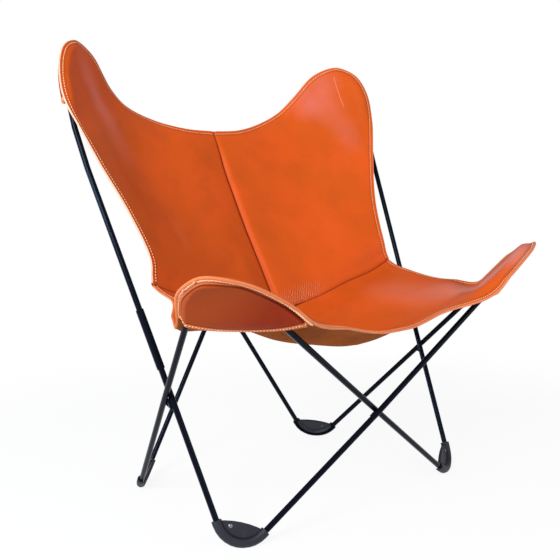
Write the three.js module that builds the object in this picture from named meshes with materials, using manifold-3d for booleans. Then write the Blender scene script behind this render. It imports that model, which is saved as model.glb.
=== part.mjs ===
// Butterfly sling chair: a leather sling of three panels hung by four sewn pockets on a frame of
// two closed loops of steel rod, which cross each other at the front, the back and both sides.
// Millimetres, +Z up. The chair faces -Y, +X is the sitter's left, and z = 0 is the floor.
import * as THREE from "three";
import Module from "manifold-3d";
import { mergeVertices } from "three/addons/utils/BufferGeometryUtils.js";

// Driving dimensions of the frame. A corner is where the two straight legs of a hoop or a foot would
// meet if the rod had no bend there.
const rodDiameter = 11;
const backCornerHalfSpan = 432;
const backCornerReach = 327;
const backCornerHeight = 1054;
const frontCornerHalfSpan = 435;
const frontCornerReach = 290;
const frontCornerHeight = 524;
const frontFootHalfSpan = 304;
const frontFootReach = 157;
const backFootHalfSpan = 252;
const backFootReach = 247;
const footBendRadius = 49;
const backHoopBendRadius = 76;
const frontHoopBendRadius = 41;

// The pull of the sling bows the tops of the back hoops towards the seat and towards each other.
const hoopBowForward = 29;
const hoopBowInward = 18;
const hoopBowStartHeight = 655;

// Joints of the frame: sleeves over the butted rod ends, and small welded webs at the crossings.
const sleeveLength = 114;
const sleeveWall = 1.4;
const sleeveChamfer = 1;
const sleeveAboveCrossing = 49;
const sideWebLeg = 25;
const endWebLeg = 17;
const webThickness = 7;
const webHoleDiameter = 4;
const webInnerShare = 0.3;
const webHollowShare = 0.86;
const webHoleShare = 0.68;

// Plastic glides under the four foot bends, each with a screw through its half-moon web.
const glideWall = 3.4;
const glideSoleFlat = 1.4;
const glideTail = 7;
const glideWebThickness = 6;
const glideWebRiseShare = 0.07;
const glideSlotShare = 0.7;
const glideScrewHeadDiameter = 7;
const glideScrewHeadHeight = 1.6;
const glideScrewShankDiameter = 3;
const glideScrewInsetShare = 0.42;

// The sling. Its shape follows the hoops at the wing tips and these named places in between.
const leatherThickness = 3.5;
const pocketSlack = 2.5;
const pocketBulge = 5;
const pocketSeamWidth = 2.5;
const pocketWrapWidth = 5;
const backPocketTopRun = 138;
const backPocketSideRun = 179;
const frontPocketHemRun = 240;
const frontPocketSideRun = 146;
const backHold = { legA: 315, legB: 285 };
const frontHold = { legA: 190, legB: 205 };
const holdFadeShare = 0.25;
const backTipMargin = 33;
const backShoulderMargin = 23;
const backInnerMargin = 21.5;
const backSideMargin = 18.5;
const frontTipMargin = 31;
const frontShoulderMargin = 27;
const frontSideMargin = 17;
const frontInnerMargin = 20;
const hemInnerMargin = 43;
const hemOuterMargin = 53;
const seamInset = 2;
const seamStripWidth = 26;
const seamStripThickness = 1.5;
const seamStripGap = 0.8;
const backSeamSpreadShare = 0.02;
const frontSeamSpreadShare = 0.15;
const hemDroop = 15;
const hemDroopWidth = 19;
const hemDroopStartShare = 0.25;
const hemDroopSpreadShare = 0.35;
const tipDroopRun = 75;
const backTopForward = 43;
const backTopHeight = 743;
const armpitHalfWidth = 319;
const armpitReach = 45;
const armpitHeight = 446;
const seatCrotchReach = 66;
const seatCrotchHeight = 356;
const seatHemReach = 269;
const seatHemHeight = 358;
const seatLowestHeight = 318;

// Clearance between pieces that touch on the real chair, and the overrun of every cut.
const clearance = 0.3;
const overrun = 5;

const rodRadius = rodDiameter / 2;
const rodOffset = (rodDiameter + clearance) / 2;
const sideSign = { left: 1, right: -1 };

const wasm = await Module();
wasm.setup();

const blackSteel = new THREE.MeshStandardMaterial({ color: 0x15151a, roughness: 0.35, metalness: 0.6 });
const blackPlastic = new THREE.MeshStandardMaterial({ color: 0x101014, roughness: 0.5, metalness: 0 });
const zincSteel = new THREE.MeshStandardMaterial({ color: 0x3a3a3e, roughness: 0.4, metalness: 0.9 });
const saddleLeather = new THREE.MeshStandardMaterial({ color: 0xc8501c, roughness: 0.45, metalness: 0 });
const suedeLeather = new THREE.MeshStandardMaterial({ color: 0x9a5a30, roughness: 0.9, metalness: 0 });

const chair = new THREE.Group();

function addPiece(name, geometry, material) {
  const mesh = new THREE.Mesh(geometry, material);
  mesh.name = name;
  chair.add(mesh);
  return mesh;
}

function vector(x, y, z) {
  return new THREE.Vector3(x, y, z);
}

function along(from, to, distance) {
  return to.clone().sub(from).setLength(distance).add(from);
}

function mix(from, to, share) {
  return from.clone().lerp(to, share);
}

// Joining and cutting

function toSolid(geometry) {
  const bare = geometry.clone();
  for (const name of Object.keys(bare.attributes)) {
    if (name !== "position") bare.deleteAttribute(name);
  }
  const merged = mergeVertices(bare);
  return new wasm.Manifold(
    new wasm.Mesh({
      numProp: 3,
      vertProperties: merged.attributes.position.array,
      triVerts: new Uint32Array(merged.index.array),
    }),
  );
}

function toGeometry(solid) {
  const mesh = solid.getMesh();
  const geometry = new THREE.BufferGeometry();
  geometry.setAttribute("position", new THREE.BufferAttribute(mesh.vertProperties, mesh.numProp));
  geometry.setIndex(new THREE.BufferAttribute(mesh.triVerts, 1));
  geometry.computeVertexNormals();
  return geometry;
}

// Rods

// A path through stations chosen by hand, so that an extrusion steps from station to station.
class StationPath extends THREE.Curve {
  constructor(stations) {
    super();
    this.stations = stations;
  }
  getPoint(t) {
    const last = this.stations.length - 1;
    const place = Math.min(Math.max(t, 0), 1) * last;
    const index = Math.min(Math.floor(place), last - 1);
    return mix(this.stations[index], this.stations[index + 1], place - index);
  }
  getUtoTmapping(u) {
    return u;
  }
}

function circleShape(radius, sides) {
  const shape = new THREE.Shape();
  for (let i = 0; i < sides; i++) {
    const angle = (2 * Math.PI * i) / sides;
    shape[i ? "lineTo" : "moveTo"](radius * Math.cos(angle), radius * Math.sin(angle));
  }
  return shape;
}

function sweep(shape, stations) {
  return new THREE.ExtrudeGeometry(shape, {
    steps: stations.length - 1,
    extrudePath: new StationPath(stations),
    curveSegments: 1,
  });
}

// The bend that rounds a corner between two straight legs: its centre, its plane and its two ends.
function bendAt(corner, legA, legB, radius) {
  const towardsA = legA.clone().sub(corner).normalize();
  const towardsB = legB.clone().sub(corner).normalize();
  const half = towardsA.angleTo(towardsB) / 2;
  const inward = towardsA.clone().add(towardsB).normalize();
  const across = towardsB.clone().sub(towardsA).normalize();
  const centre = corner.clone().addScaledVector(inward, radius / Math.sin(half));
  const turn = Math.PI / 2 - half;
  return {
    centre,
    inward,
    across,
    normal: new THREE.Vector3().crossVectors(across, inward).normalize(),
    turn,
    run: radius / Math.tan(half),
    // A point of the bend: -1 at the end of leg A, 1 at the end of leg B.
    point(share, offset = 0) {
      const angle = share * turn;
      return centre
        .clone()
        .addScaledVector(inward, -(radius + offset) * Math.cos(angle))
        .addScaledVector(across, (radius + offset) * Math.sin(angle));
    },
  };
}

const bendStepAngle = Math.PI / 15;
function bendStations(bend) {
  const steps = Math.max(2, Math.ceil((2 * bend.turn) / bendStepAngle));
  return Array.from({ length: steps + 1 }, (unused, step) => bend.point((2 * step) / steps - 1));
}

// Stations of a rod that runs through corners, each rounded by its radius.
function roundedStations(corners) {
  const inner = corners.slice(1, -1).flatMap(({ at, radius }, i) =>
    bendStations(bendAt(at, corners[i].at, corners[i + 2].at, radius)),
  );
  return [corners[0].at, ...inner, corners.at(-1).at];
}

const rodSides = 10;
const kinkRadiusShare = 12;
const kinkRadius = kinkRadiusShare * rodDiameter;

// Corners of the frame

const backCorner = {};
const frontCorner = {};
for (const [side, sign] of Object.entries(sideSign)) {
  backCorner[side] = vector(sign * backCornerHalfSpan, backCornerReach, backCornerHeight);
  frontCorner[side] = vector(sign * frontCornerHalfSpan, -frontCornerReach, frontCornerHeight);
}

// The corner of a foot lies below the floor, as deep as puts the glide's sole on the floor.
const footRodHeight = rodRadius + clearance + glideWall - glideSoleFlat;
const footSteps = 40;
const footPasses = 8;
function footCorner(x, y, legA, legB) {
  const corner = vector(x, y, 0);
  for (let pass = 0; pass < footPasses; pass++) {
    const bend = bendAt(corner, legA, legB, footBendRadius);
    const shares = Array.from({ length: footSteps + 1 }, (unused, i) => (2 * i) / footSteps - 1);
    const heights = shares.map((share) => bend.point(share).z);
    corner.z += footRodHeight - Math.min(...heights);
  }
  return corner;
}

const frontFoot = {};
const backFoot = {};
const other = { left: "right", right: "left" };
for (const [side, sign] of Object.entries(sideSign)) {
  frontFoot[side] = footCorner(
    sign * frontFootHalfSpan, -frontFootReach, backCorner[side], frontCorner[other[side]],
  );
  backFoot[side] = footCorner(
    sign * backFootHalfSpan, backFootReach, frontCorner[side], backCorner[other[side]],
  );
}

// Crossings: the middle of the shortest line between two legs, and its direction. Each rod passes on
// its own side of the middle, a clearance apart.
function crossingOf(a1, a2, b1, b2, outward) {
  const u = a2.clone().sub(a1);
  const v = b2.clone().sub(b1);
  const w = a1.clone().sub(b1);
  const uu = u.dot(u);
  const uv = u.dot(v);
  const vv = v.dot(v);
  const det = uu * vv - uv * uv;
  const onA = a1.clone().addScaledVector(u, (uv * v.dot(w) - vv * u.dot(w)) / det);
  const onB = b1.clone().addScaledVector(v, (uu * v.dot(w) - uv * u.dot(w)) / det);
  const normal = new THREE.Vector3().crossVectors(u, v).normalize();
  if (normal.dot(outward) < 0) normal.negate();
  const middle = mix(onA, onB, 0.5);
  return {
    middle,
    normal,
    outer: middle.clone().addScaledVector(normal, rodOffset),
    inner: middle.clone().addScaledVector(normal, -rodOffset),
  };
}

const crossings = {
  front: crossingOf(frontCorner.right, frontFoot.left, frontCorner.left, frontFoot.right, vector(0, -1, 0)),
  back: crossingOf(backCorner.right, backFoot.left, backCorner.left, backFoot.right, vector(0, 1, 0)),
};
for (const [side, sign] of Object.entries(sideSign)) {
  crossings[side] = crossingOf(
    frontCorner[side], backFoot[side], backCorner[side], frontFoot[side], vector(sign, 0, 0),
  );
}

// How far the bowed rod of a back hoop stands from its straight line, by its height.
const hoopTopHeight = bendAt(backCorner.left, frontFoot.left, backFoot.right, backHoopBendRadius).point(0).z;
function bow(point, share = 1) {
  const rise = Math.max(0, point.z - hoopBowStartHeight) / (hoopTopHeight - hoopBowStartHeight);
  const pull = share * rise * rise;
  return vector(
    point.x - Math.sign(point.x) * hoopBowInward * pull, point.y - hoopBowForward * pull, point.z,
  );
}

// Each side has a lower rod, which starts in the sleeve above its own side crossing, and a back hoop
// that plugs into two sleeves. The left one passes behind at the front and back crossings.
const sleeveEnds = {};
const rodRoom = [];
const backHoopBend = {};
function sleeveOn(top, crossing) {
  const length = top.distanceTo(crossing);
  return {
    start: along(top, crossing, length - sleeveAboveCrossing - sleeveLength),
    middle: along(top, crossing, length - sleeveAboveCrossing - sleeveLength / 2),
    end: along(top, crossing, length - sleeveAboveCrossing),
  };
}

function straightStations(from, to, count) {
  return Array.from({ length: count }, (unused, i) => mix(from, to, i / (count - 1)));
}

for (const side of ["left", "right"]) {
  const far = other[side];
  const frontPass = side === "left" ? "inner" : "outer";
  const backPass = side === "left" ? "outer" : "inner";
  const sideSleeve = sleeveOn(backCorner[side], crossings[side].inner);
  const backSleeve = sleeveOn(backCorner[side], crossings.back[backPass]);
  sleeveEnds[side] = { side: sideSleeve, back: backSleeve };
  const half = clearance / 2;

  const lower = roundedStations([
    { at: along(sideSleeve.middle, crossings[side].inner, half) },
    { at: crossings[side].inner, radius: kinkRadius },
    { at: frontFoot[side], radius: footBendRadius },
    { at: crossings.front[frontPass], radius: kinkRadius },
    { at: frontCorner[far], radius: frontHoopBendRadius },
    { at: crossings[far].outer, radius: kinkRadius },
    { at: backFoot[far], radius: footBendRadius },
    { at: crossings.back[backPass], radius: kinkRadius },
    { at: along(backSleeve.middle, crossings.back[backPass], half) },
  ]);
  addPiece("lower_rod_" + side, sweep(circleShape(rodRadius, rodSides), lower), blackSteel);
  rodRoom.push(toSolid(sweep(circleShape(rodRadius + clearance, rodSides), lower)));

  const bend = bendAt(backCorner[side], crossings[side].inner, crossings.back[backPass], backHoopBendRadius);
  backHoopBend[side] = bend;
  const sideEnd = along(sideSleeve.middle, backCorner[side], half);
  const backEnd = along(backSleeve.middle, backCorner[side], half);
  const hoopSteps = 14;
  const hoop = [
    ...straightStations(sideEnd, bend.point(-1), 7),
    ...Array.from({ length: hoopSteps - 1 }, (unused, i) => bend.point((2 * (i + 1)) / hoopSteps - 1)),
    ...straightStations(bend.point(1), backEnd, 7),
  ].map((point) => bow(point));
  addPiece("back_hoop_" + side, sweep(circleShape(rodRadius, rodSides), hoop), blackSteel);
}

// Sleeves

const sleeveBore = rodRadius + clearance;
function sleeveGeometry(start, end) {
  const outer = sleeveBore + sleeveWall;
  const length = start.distanceTo(end);
  const profile = [
    [sleeveBore, 0],
    [outer - sleeveChamfer, 0],
    [outer, sleeveChamfer],
    [outer, length - sleeveChamfer],
    [outer - sleeveChamfer, length],
    [sleeveBore, length],
    [sleeveBore, 0],
  ].map(([radius, height]) => new THREE.Vector2(radius, height));
  const geometry = new THREE.LatheGeometry(profile, 16);
  const direction = end.clone().sub(start).normalize();
  geometry.applyQuaternion(new THREE.Quaternion().setFromUnitVectors(vector(0, 1, 0), direction));
  geometry.translate(start.x, start.y, start.z);
  return geometry;
}

for (const side of ["left", "right"]) {
  for (const place of ["side", "back"]) {
    const { start, end } = sleeveEnds[side][place];
    addPiece(`${place}_sleeve_${side}`, sleeveGeometry(start, end), blackSteel);
  }
}

// Webs welded into the lower corner of each crossing

// Places a shape, drawn in x and y, on a plane through an origin, from one height of z to another.
function slab(shape, origin, xAxis, yAxis, from, to) {
  const zAxis = new THREE.Vector3().crossVectors(xAxis, yAxis);
  const geometry = new THREE.ExtrudeGeometry(shape, {
    depth: to - from,
    bevelEnabled: false,
    curveSegments: 6,
  });
  geometry.translate(0, 0, from);
  geometry.applyMatrix4(new THREE.Matrix4().makeBasis(xAxis, yAxis, zAxis).setPosition(origin));
  return toSolid(geometry);
}

function cutByRods(solid) {
  return rodRoom.reduce((rest, room) => rest.subtract(room), solid);
}

function webGeometry(crossing, footA, footB, leg, withHole) {
  const towardsA = footA.clone().sub(crossing.middle).projectOnPlane(crossing.normal).normalize();
  const towardsB = footB.clone().sub(crossing.middle).projectOnPlane(crossing.normal).normalize();
  const half = towardsA.angleTo(towardsB) / 2;
  const down = towardsA.clone().add(towardsB).normalize();
  const across = new THREE.Vector3().crossVectors(crossing.normal, down);
  const near = leg * webInnerShare;
  const shape = new THREE.Shape();
  shape.moveTo(near * Math.cos(half), -near * Math.sin(half));
  shape.lineTo(leg * Math.cos(half), -leg * Math.sin(half));
  shape.quadraticCurveTo(
    leg * webHollowShare * Math.cos(half), 0, leg * Math.cos(half), leg * Math.sin(half),
  );
  shape.lineTo(near * Math.cos(half), near * Math.sin(half));
  if (withHole) {
    const hole = new THREE.Path();
    hole.absarc(leg * webHoleShare, 0, webHoleDiameter / 2, 0, 2 * Math.PI, true);
    shape.holes.push(hole);
  }
  const web = slab(shape, crossing.middle, down, across, -webThickness / 2, webThickness / 2);
  return toGeometry(cutByRods(web));
}

const frontWeb = webGeometry(crossings.front, frontFoot.left, frontFoot.right, endWebLeg, false);
const backWeb = webGeometry(crossings.back, backFoot.left, backFoot.right, endWebLeg, false);
addPiece("front_web", frontWeb, blackSteel);
addPiece("back_web", backWeb, blackSteel);
for (const side of ["left", "right"]) {
  const web = webGeometry(crossings[side], frontFoot[side], backFoot[side], sideWebLeg, true);
  addPiece("side_web_" + side, web, blackSteel);
}

// Foot glides: a shell round the bend, slit along its hidden side so that it snaps on, with a web
// across the inside of the bend and a screw through the web.

const glideRadius = rodRadius + clearance + glideWall;

// The line that lies a given distance from the rod's centre, along the bend and its two tails.
const bendLineSteps = 12;
function bendLine(bend, radius, tail) {
  const cos = Math.cos(bend.turn);
  const sin = Math.sin(bend.turn);
  const arc = Array.from({ length: bendLineSteps + 1 }, (unused, i) => {
    const angle = ((2 * i) / bendLineSteps - 1) * bend.turn;
    return new THREE.Vector2(radius * Math.sin(angle), -radius * Math.cos(angle));
  });
  return [
    new THREE.Vector2(-radius * sin - tail * cos, -radius * cos + tail * sin),
    ...arc,
    new THREE.Vector2(radius * sin + tail * cos, -radius * cos + tail * sin),
  ];
}

function addGlide(side, place, corner, legA, legB) {
  const bend = bendAt(corner, legA, legB, footBendRadius);
  const ends = [bend.point(-1), bend.point(1)];
  const stations = [
    along(ends[0], legA, glideTail),
    ...bendStations(bend),
    along(ends[1], legB, glideTail),
  ];
  const shell = toSolid(sweep(circleShape(glideRadius, 14), stations));
  const onPlane = (shape, from, to) => slab(shape, bend.centre, bend.across, bend.inward, from, to);

  const rim = bendLine(bend, footBendRadius, glideTail);
  const webEnd = rim.at(-1);
  const webTop = webEnd.y + 2 * webEnd.x * glideWebRiseShare;
  const webShape = new THREE.Shape(rim);
  webShape.quadraticCurveTo(0, 2 * webTop - webEnd.y, rim[0].x, rim[0].y);
  const web = onPlane(webShape, -glideWebThickness / 2, glideWebThickness / 2);

  const outward = Math.sign(bend.normal.dot(vector(corner.x, corner.y, 0)));
  const slotHalf = glideSlotShare * (rodRadius + clearance);
  const slotShape = new THREE.Shape([
    ...bendLine(bend, footBendRadius + slotHalf, glideTail + overrun),
    ...bendLine(bend, footBendRadius - slotHalf, glideTail + overrun).reverse(),
  ]);
  const slotDepth = glideRadius + overrun;
  const slot = outward > 0 ? onPlane(slotShape, -slotDepth, 0) : onPlane(slotShape, 0, slotDepth);

  const screwX = -glideScrewInsetShare * webEnd.x;
  const webFloor = -Math.sqrt((footBendRadius - glideRadius) ** 2 - screwX ** 2);
  const screwY = (webFloor + webTop) / 2;
  const hole = new THREE.Shape();
  hole.absarc(screwX, screwY, glideScrewShankDiameter / 2 + clearance, 0, 2 * Math.PI);
  const bore = onPlane(hole, -glideRadius, glideRadius);
  const floor = toSolid(
    new THREE.BoxGeometry(4 * footBendRadius, 4 * footBendRadius, 2 * footBendRadius)
      .translate(corner.x, corner.y, -footBendRadius),
  );
  const glide = cutByRods(shell.add(web)).subtract(slot).subtract(bore).subtract(floor);
  addPiece(`${place}_glide_${side}`, toGeometry(glide), blackPlastic);

  const headSeat = glideWebThickness / 2 + clearance;
  const shank = glideScrewShankDiameter / 2;
  const head = glideScrewHeadDiameter / 2;
  const profile = [
    [0, -glideWebThickness / 2],
    [shank, -glideWebThickness / 2],
    [shank, headSeat],
    [head, headSeat],
    [head, headSeat + glideScrewHeadHeight / 2],
    [head / 2, headSeat + glideScrewHeadHeight],
    [0, headSeat + glideScrewHeadHeight],
  ].map(([radius, height]) => new THREE.Vector2(radius, height));
  const screw = new THREE.LatheGeometry(profile, 12);
  const axis = bend.normal.clone().multiplyScalar(outward);
  screw.applyQuaternion(new THREE.Quaternion().setFromUnitVectors(vector(0, 1, 0), axis));
  const seat = bend.centre
    .clone()
    .addScaledVector(bend.across, screwX)
    .addScaledVector(bend.inward, screwY);
  screw.translate(seat.x, seat.y, seat.z);
  addPiece(`${place}_glide_screw_${side}`, screw, zincSteel);
}

for (const side of ["left", "right"]) {
  const far = other[side];
  const frontPass = side === "left" ? "inner" : "outer";
  const backPass = side === "left" ? "outer" : "inner";
  addGlide(side, "front", frontFoot[side], crossings[side].inner, crossings.front[frontPass]);
  addGlide(far, "back", backFoot[far], crossings[far].outer, crossings.back[backPass]);
}

// The sling, drawn for the sitter's left side and mirrored for the right

const faceOffset = rodRadius + pocketSlack + leatherThickness / 2;
const pocketDepth = 2 * faceOffset + pocketBulge;

function smooth(share) {
  const t = Math.min(Math.max(share, 0), 1);
  return t * t * (3 - 2 * t);
}

// A point between two places, with its own share along each axis.
function between(from, to, xShare, yShare, zShare) {
  return vector(
    from.x + (to.x - from.x) * xShare,
    from.y + (to.y - from.y) * yShare,
    from.z + (to.z - from.z) * zShare,
  );
}

// A hoop as the leather meets it: which way its face looks, and places along its edge. A place from
// -1 to 1 is on the bend, and beyond it on leg A or leg B, in shares of the bend's run.
function wing(corner, legA, legB, radius, hold, bowed) {
  const bend = bendAt(corner, legA, legB, radius);
  const face = bend.normal.clone().multiplyScalar(Math.sign(bend.normal.z));
  const towardsA = legA.clone().sub(corner).normalize();
  const towardsB = legB.clone().sub(corner).normalize();
  const shift = (point, share) => (bowed ? bow(point, share) : point.clone());
  return {
    face,
    shift,
    edge(place, margin) {
      const onBend = Math.min(Math.max(place, -1), 1);
      const leg = place < 0 ? towardsA : towardsB;
      const point = bend
        .point(onBend, margin)
        .addScaledVector(leg, Math.abs(place - onBend) * bend.run)
        .addScaledVector(face, faceOffset);
      return shift(point, 1);
    },
    // Lays a point of the sling flat on the hoop, as far as the pocket holds it there.
    settle(point) {
      const flat = shift(point, -1);
      const offset = flat.clone().sub(corner);
      const height = offset.dot(face);
      offset.addScaledVector(face, -height);
      const cos = towardsA.dot(towardsB);
      const a = offset.dot(towardsA);
      const b = offset.dot(towardsB);
      const runA = (a - b * cos) / (1 - cos * cos);
      const runB = (b - a * cos) / (1 - cos * cos);
      const reach = Math.max(runA, 0) / hold.legA + Math.max(runB, 0) / hold.legB;
      const hug = 1 - smooth((reach - 1) / holdFadeShare);
      flat.addScaledVector(face, (faceOffset - height) * hug);
      return shift(flat, 1);
    },
  };
}

const backWing = wing(
  backCorner.left, crossings.left.inner, crossings.back.middle, backHoopBendRadius, backHold, true,
);
const frontWing = wing(
  frontCorner.left, crossings.left.outer, crossings.front.middle, frontHoopBendRadius, frontHold, false,
);

// A smooth edge through points. Where another edge goes on from one of its ends, a point of that edge
// gives both the same direction there.
class EdgeCurve extends THREE.Curve {
  constructor(points, before, after) {
    super();
    const through = [before, ...points, after].filter((point) => point !== undefined);
    this.whole = new THREE.CatmullRomCurve3(through, false, "centripetal");
    this.first = (before === undefined ? 0 : 1) / (through.length - 1);
    this.kept = (points.length - 1) / (through.length - 1);
    this.arcLengthDivisions = 400;
  }
  getPoint(share, target) {
    return this.whole.getPoint(this.first + share * this.kept, target);
  }
}
function curve(points, before, after) {
  return new EdgeCurve(points, before, after);
}

function mirrored(point) {
  return vector(-point.x, point.y, point.z);
}

const topCentre = vector(0, backCornerReach - backTopForward, backTopHeight);
const crotch = vector(0, seatCrotchReach, seatCrotchHeight);
const hemCentre = vector(0, -seatHemReach, seatHemHeight);
const armpit = vector(armpitHalfWidth, armpitReach, armpitHeight);
const frontTipShare = -0.28;
const backTip = backWing.edge(0, backTipMargin);
const frontTip = frontWing.edge(frontTipShare, frontTipMargin);

// The edges of the leather, each from the middle of the chair outwards or from the top downwards. In
// a list of shares, each line is a point of the edge between two of the named places.
function sharedPoints(from, to, shares) {
  return shares.map(([xShare, yShare, zShare]) => between(from, to, xShare, yShare, zShare));
}

const topWingShares = [1.04, 0.45];
const topEdgeShares = [
  [0.21, 0.014, 0.025],
  [0.42, 0.067, 0.13],
  [0.61, 0.081, 0.31],
];
const [upperSideShare, shoulderShare, backPocketShare] = [-0.36, -0.78, -1.18];
const topWingPoints = topWingShares.map((place) => backWing.edge(place, backInnerMargin));
const backSidePoint = backWing.edge(upperSideShare, backTipMargin);
const topEdge = curve([
  topCentre,
  ...topEdgeShares.map(([xShare, yShare, zShare]) =>
    vector(
      backTip.x * xShare,
      topCentre.y * (1 + yShare),
      THREE.MathUtils.lerp(topCentre.z, backTip.z, zShare),
    ),
  ),
  ...topWingPoints,
  backTip,
], undefined, backSidePoint);

const backSideShares = [
  [0.61, 0.75, 0.7],
  [0.16, 0.42, 0.4],
  [-0.06, 0.09, 0.13],
];
const backPocketFoot = backWing.edge(backPocketShare, backSideMargin);
const backSideEdge = curve([
  backTip,
  backSidePoint,
  backWing.edge(shoulderShare, backShoulderMargin),
  backPocketFoot,
  ...sharedPoints(armpit, backPocketFoot, backSideShares),
  armpit,
], topWingPoints.at(-1));

const centreSeamShares = [
  [0, 0.9, 0.885],
  [0, 0.81, 0.77],
  [0, 0.69, 0.645],
  [0, 0.485, 0.44],
  [0, 0.24, 0.22],
  [0, 0.115, 0.105],
];
const centreSeam = curve([topCentre, ...sharedPoints(crotch, topCentre, centreSeamShares), crotch]);

const seatSeamShares = [
  [0.14, 0.14, 0.11],
  [0.36, 0.38, 0.29],
  [0.6, 0.57, 0.54],
  [0.82, 0.81, 0.74],
];
const seatSeam = curve([crotch, ...sharedPoints(crotch, armpit, seatSeamShares), armpit]);

const seatSideShares = [
  [0.05, 0.34, 0.62],
  [0.52, 0.64, 1.12],
];
const [frontShoulderShare, frontPocketShare] = [-1.07, -1.88];
const [hemInnerShare, hemMiddleShare, hemOuterShare] = [2.46, 1.57, 0.63];
const frontPocketFoot = frontWing.edge(frontPocketShare, frontSideMargin);
const frontShoulder = frontWing.edge(frontShoulderShare, frontShoulderMargin);
const hemShoulder = frontWing.edge(hemOuterShare, frontInnerMargin);
const seatSideEdge = curve([
  armpit,
  ...sharedPoints(armpit, frontPocketFoot, seatSideShares),
  frontPocketFoot,
  frontShoulder,
  frontTip,
], undefined, hemShoulder);

const hemShares = [
  [0.2, 0.01, 0.05],
  [0.53, 0.1, 0.4],
];
const hemPocketEnd = frontWing.edge(hemInnerShare, hemOuterMargin);
const hemEdge = curve([
  hemCentre,
  ...sharedPoints(hemCentre, hemPocketEnd, hemShares),
  hemPocketEnd,
  frontWing.edge(hemMiddleShare, hemInnerMargin),
  hemShoulder,
  frontTip,
], undefined, frontShoulder);

// Sums the normals of the triangles round each point of a grid, turned to the sitter's side. A first
// row that is one point has one normal.
function gridNormals(grid) {
  const normals = grid.map((row) => row.map(() => vector(0, 0, 0)));
  const add = (i, j, normal) => normals[i][j].add(normal);
  for (let i = 0; i + 1 < grid.length; i++) {
    for (let j = 0; j + 1 < grid[i].length; j++) {
      const diagonal = grid[i + 1][j + 1].clone().sub(grid[i][j]);
      const cross = grid[i + 1][j].clone().sub(grid[i][j + 1]);
      const normal = diagonal.cross(cross);
      add(i, j, normal);
      add(i, j + 1, normal);
      add(i + 1, j, normal);
      add(i + 1, j + 1, normal);
    }
  }
  if (grid[0][0].equals(grid[0].at(-1))) {
    const pole = normals[0].reduce((sum, normal) => sum.add(normal), vector(0, 0, 0));
    normals[0] = normals[0].map(() => pole.clone());
  }
  const up = normals.flat().reduce((sum, normal) => sum + normal.z, 0);
  return normals.map((row) => row.map((normal) => normal.normalize().multiplyScalar(Math.sign(up))));
}

function offsetGrid(grid, normals, distance) {
  return grid.map((row, i) => row.map((point, j) => point.clone().addScaledVector(normals[i][j], distance)));
}

// A closed sheet between two grids of the same size.
function sheetGeometry(front, back) {
  const rows = front.length;
  const columns = front[0].length;
  const position = [...front.flat(), ...back.flat()].flatMap((point) => [point.x, point.y, point.z]);
  const index = [];
  const at = (i, j, layer) => layer * rows * columns + i * columns + j;
  const last = columns - 1;
  const corner = (k) => vector(position[3 * k], position[3 * k + 1], position[3 * k + 2]);
  function triangle(a, b, c) {
    const [p, q, r] = [a, b, c].map(corner);
    const twice = q.sub(p).cross(r.clone().sub(p)).length();
    if (twice > 0) index.push(a, b, c);
  }
  function quad(a, b, c, d) {
    triangle(a, b, c);
    triangle(a, c, d);
  }
  for (let i = 0; i + 1 < rows; i++) {
    for (let j = 0; j + 1 < columns; j++) {
      quad(at(i, j, 0), at(i, j + 1, 0), at(i + 1, j + 1, 0), at(i + 1, j, 0));
      quad(at(i, j, 1), at(i + 1, j, 1), at(i + 1, j + 1, 1), at(i, j + 1, 1));
    }
    quad(at(i, 0, 0), at(i + 1, 0, 0), at(i + 1, 0, 1), at(i, 0, 1));
    quad(at(i + 1, last, 0), at(i, last, 0), at(i, last, 1), at(i + 1, last, 1));
  }
  for (let j = 0; j + 1 < columns; j++) {
    quad(at(0, j + 1, 0), at(0, j, 0), at(0, j, 1), at(0, j + 1, 1));
    quad(at(rows - 1, j, 0), at(rows - 1, j + 1, 0), at(rows - 1, j + 1, 1), at(rows - 1, j, 1));
  }
  let volume = 0;
  for (let k = 0; k < index.length; k += 3) {
    const [p, q, r] = index.slice(k, k + 3).map(corner);
    volume += p.dot(q.cross(r));
  }
  if (volume < 0) index.reverse();
  const geometry = new THREE.BufferGeometry();
  geometry.setAttribute("position", new THREE.Float32BufferAttribute(position, 3));
  geometry.setIndex(index);
  geometry.computeVertexNormals();
  return geometry;
}

function leatherGeometry(grid) {
  const normals = gridNormals(grid);
  const half = leatherThickness / 2;
  return sheetGeometry(offsetGrid(grid, normals, half), offsetGrid(grid, normals, -half));
}

// A piece of the left side from its grid of points, and its mirror image on the right.
function addBothSides(name, grid, build, material) {
  addPiece(name + "_left", build(grid), material);
  addPiece(name + "_right", build(grid.map((row) => row.map(mirrored))), material);
}

// The blend of four edges that meet in corners: u runs along the top and bottom, v down the sides.
function patch(top, bottom, start, end) {
  const corners = [top.getPointAt(0), top.getPointAt(1), bottom.getPointAt(0), bottom.getPointAt(1)];
  return (u, v) =>
    vector(0, 0, 0)
      .addScaledVector(top.getPointAt(u), 1 - v)
      .addScaledVector(bottom.getPointAt(u), v)
      .addScaledVector(start.getPointAt(v), 1 - u)
      .addScaledVector(end.getPointAt(v), u)
      .addScaledVector(corners[0], -(1 - u) * (1 - v))
      .addScaledVector(corners[1], -u * (1 - v))
      .addScaledVector(corners[2], -(1 - u) * v)
      .addScaledVector(corners[3], -u * v);
}

const backPatch = patch(topEdge, seatSeam, centreSeam, backSideEdge);
const centreLength = centreSeam.getLength();
const backSideLength = backSideEdge.getLength();
function backSurface(u, v) {
  return backWing.settle(backPatch(u, v));
}

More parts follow.
